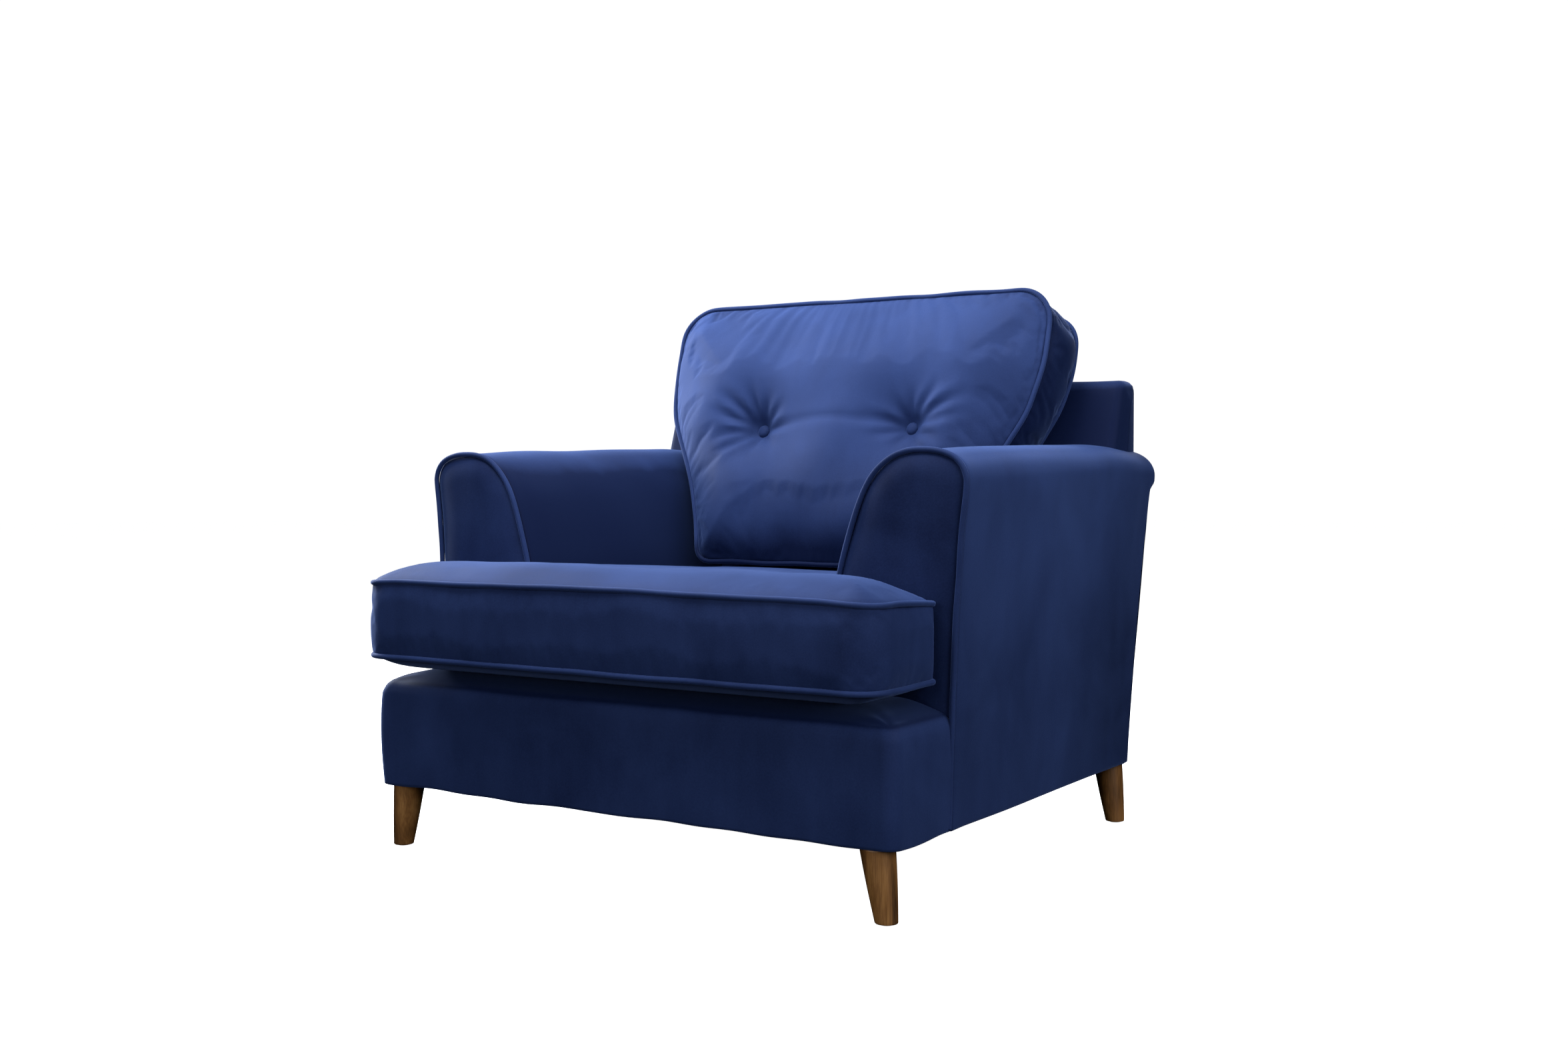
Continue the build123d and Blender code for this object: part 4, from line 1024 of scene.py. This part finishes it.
cushionNodes = ("back_cushion_cover", "back_cushion_fill", "button_twine")
backCushionPiece = place(backCushion(), "back_cushion", "velvet", *cushionNodes)
place(cushionPiping("backPipingFront", 0.0, 81), "back_cushion", "velvet_piping", "back_piping_front")
place(cushionPiping("backPipingRear", cushion["deep"], 85), "back_cushion", "velvet_piping", "back_piping_rear")
for hand, side in (("Left", -1), ("Right", 1)):
    depth = cushion["buttonDepth"]
    place(button("button" + hand, side, depth, 0.0078, 1), "back_cushion", "velvet", "button_" + hand.lower())
rearButtons = button("rearButtonRight", 1, cushion["deep"] - 0.006, 0.006, -1)
rearOther = button("rearButtonLeft", -1, cushion["deep"] - 0.006, 0.006, -1)
place(rearButtons, "back_cushion", "velvet", "rear_buttons")
place(rearOther, "back_cushion", "velvet")
print("back cushion ready")

leg = {"foot": 0.0160, "top": 0.0250, "high": 0.105, "edge": 0.0014, "lean": 0.014}


def legPiece(name, node):
    # round section that grows from foot to top with a slight swell and leans out to its eased foot
    low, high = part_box(node)
    side = 1 if low.x > 0 else -1
    footX = side * (max(abs(low.x), abs(high.x)) - leg["foot"])
    footY = (low.y + high.y) / 2
    eased = low.z + leg["edge"] * np.array([0, 0.12, 0.4, 1.0])
    z = np.concatenate([eased, np.linspace(low.z + 0.004, high.z, 40)])
    t = (z - low.z) / (high.z - low.z)
    radius = leg["foot"] + (leg["top"] - leg["foot"]) * t + 0.0007 * np.sin(t * math.pi)
    radius[:4] -= leg["edge"] * np.array([1.0, 0.5, 0.16, 0])
    a = np.linspace(0, 2 * math.pi, 64, endpoint=False)
    ring = np.stack([
        footX - side * leg["lean"] * t[:, None] + radius[:, None] * np.cos(a),
        footY + radius[:, None] * np.sin(a),
        np.broadcast_to(z[:, None], (len(z), len(a))),
    ], axis=-1)
    return recalc(skin(name, ring, closeColumns=True, caps=True))


for end in ("front", "rear"):
    for hand in ("left", "right"):
        node = f"leg_{end}_{hand}"
        place(legPiece("leg" + end.capitalize() + hand.capitalize(), node), "frame", "walnut_stain", node)


def underside():
    # black dust cloth, a little slack between its staples
    low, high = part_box("dust_cover")
    u = np.linspace(-1, 1, 90)
    x, y = np.meshgrid(u * high.x, (low.y + high.y) / 2 + u * (high.y - low.y) / 2)
    ru, rv = np.meshgrid(u, u)
    sag = (1 - ru**4) * (1 - rv**4)
    ripple = wave(np.column_stack([x.ravel(), y.ravel()]), 0.12, 91).reshape(x.shape)
    z = high.z - 0.0006 - 0.0012 * sag + 0.0005 * ripple * sag
    sheetPiece = skin("dustCover", np.stack([x, y, z], axis=-1), flip=True)
    solid = sheetPiece.modifiers.new("Solidify", "SOLIDIFY")
    solid.thickness = 0.0008
    return sheetPiece


dust = place(underside(), "frame", "black_cloth", "dust_cover")
print("legs and underside ready")

studio = {
    "camera": (1.5267, -2.3315, 0.5983),
    "forward": (-0.5393, 0.8417, -0.0266),
    "lens": 38.03,
    "exposure": 0.0,
}


def lamp(name, spot, aim, size, power, colour):
    data = bpy.data.lights.new(name, "AREA")
    data.shape = "RECTANGLE"
    data.size, data.size_y = size
    data.energy = power
    data.color = colour
    holder = bpy.data.objects.new(name, data)
    holder.location = spot
    holder.rotation_euler = (Vector(aim) - Vector(spot)).to_track_quat("-Z", "Y").to_euler()
    bpy.context.scene.collection.objects.link(holder)
    return holder


lens = bpy.data.cameras.new("camera")
lens.lens = studio["lens"]
lens.sensor_width = 36.0
lens.clip_end = 60
camera = bpy.data.objects.new("camera", lens)
camera.location = studio["camera"]
camera.rotation_euler = Vector(studio["forward"]).to_track_quat("-Z", "Y").to_euler()
bpy.context.scene.collection.objects.link(camera)
bpy.context.scene.camera = camera

floorLook = Paint("paleFloor")
speck = floorLook.noise(3.0, 2.0)
floorMaterial = floorLook.finish({
    "Base Color": floorLook.mix(speck, (0.86, 0.86, 0.87, 1), (0.90, 0.90, 0.90, 1)),
    "Roughness": 0.75,
    "Emission Color": (1, 1, 1, 1),
    "Emission Strength": 1.0,
})
floorRadius = np.linspace(0.0, 1.0, 24) ** 1.5 * 22
r, t = np.meshgrid(floorRadius, np.linspace(0, 2 * math.pi, 96, endpoint=False), indexing="ij")
ground = np.stack([r * np.cos(t), r * np.sin(t), np.zeros_like(r)], axis=-1)
floor = recalc(skin("floor", ground, closeColumns=True))
floor.data.materials.append(floorMaterial)
floor.visible_diffuse = floor.visible_glossy = False  # its brightness doesn't light the chair from below

world = bpy.data.worlds.new("studio")
bpy.context.scene.world = world
world.use_nodes = True
tree = world.node_tree
tree.nodes.clear()
backdrop = tree.nodes.new("ShaderNodeBackground")
backdrop.inputs["Color"].default_value = (1, 1, 1, 1)
backdrop.inputs["Strength"].default_value = 1.05
result = tree.nodes.new("ShaderNodeOutputWorld")
tree.links.new(backdrop.outputs[0], result.inputs["Surface"])
world.cycles_visibility.diffuse = world.cycles_visibility.glossy = False

lamps = {  # place, aim, size, power and colour
    "overhead": ((-0.4, -0.6, 2.8), (0, 0.1, 0.5), (1.8, 1.6), 100, (0.94, 0.97, 1.0)),
    "leftStrip": ((-2.4, 0.1, 1.5), (0, 0, 0.7), (0.9, 1.6), 105, (0.92, 0.96, 1.0)),
    "rightHigh": ((2.0, 0.3, 2.3), (0.4, 0.1, 0.4), (1.0, 1.6), 26, (0.95, 0.97, 1.0)),
    "frontFill": ((0.3, -4.0, 1.6), (0, 0, 0.4), (3.0, 2.0), 62, (0.95, 0.97, 1.0)),
    "around": ((3.5, -1.2, 1.7), (0, 0, 0.5), (2.0, 2.0), 62, (0.95, 0.97, 1.0)),
    "behind": ((-0.6, 3.6, 1.9), (0, 0.3, 0.4), (2.4, 1.8), 46, (0.95, 0.97, 1.0)),
}
for name, settings in lamps.items():
    lamp(name, *settings)
bpy.context.scene.view_settings.view_transform = "Standard"
bpy.context.scene.view_settings.exposure = studio["exposure"]
print("studio ready")
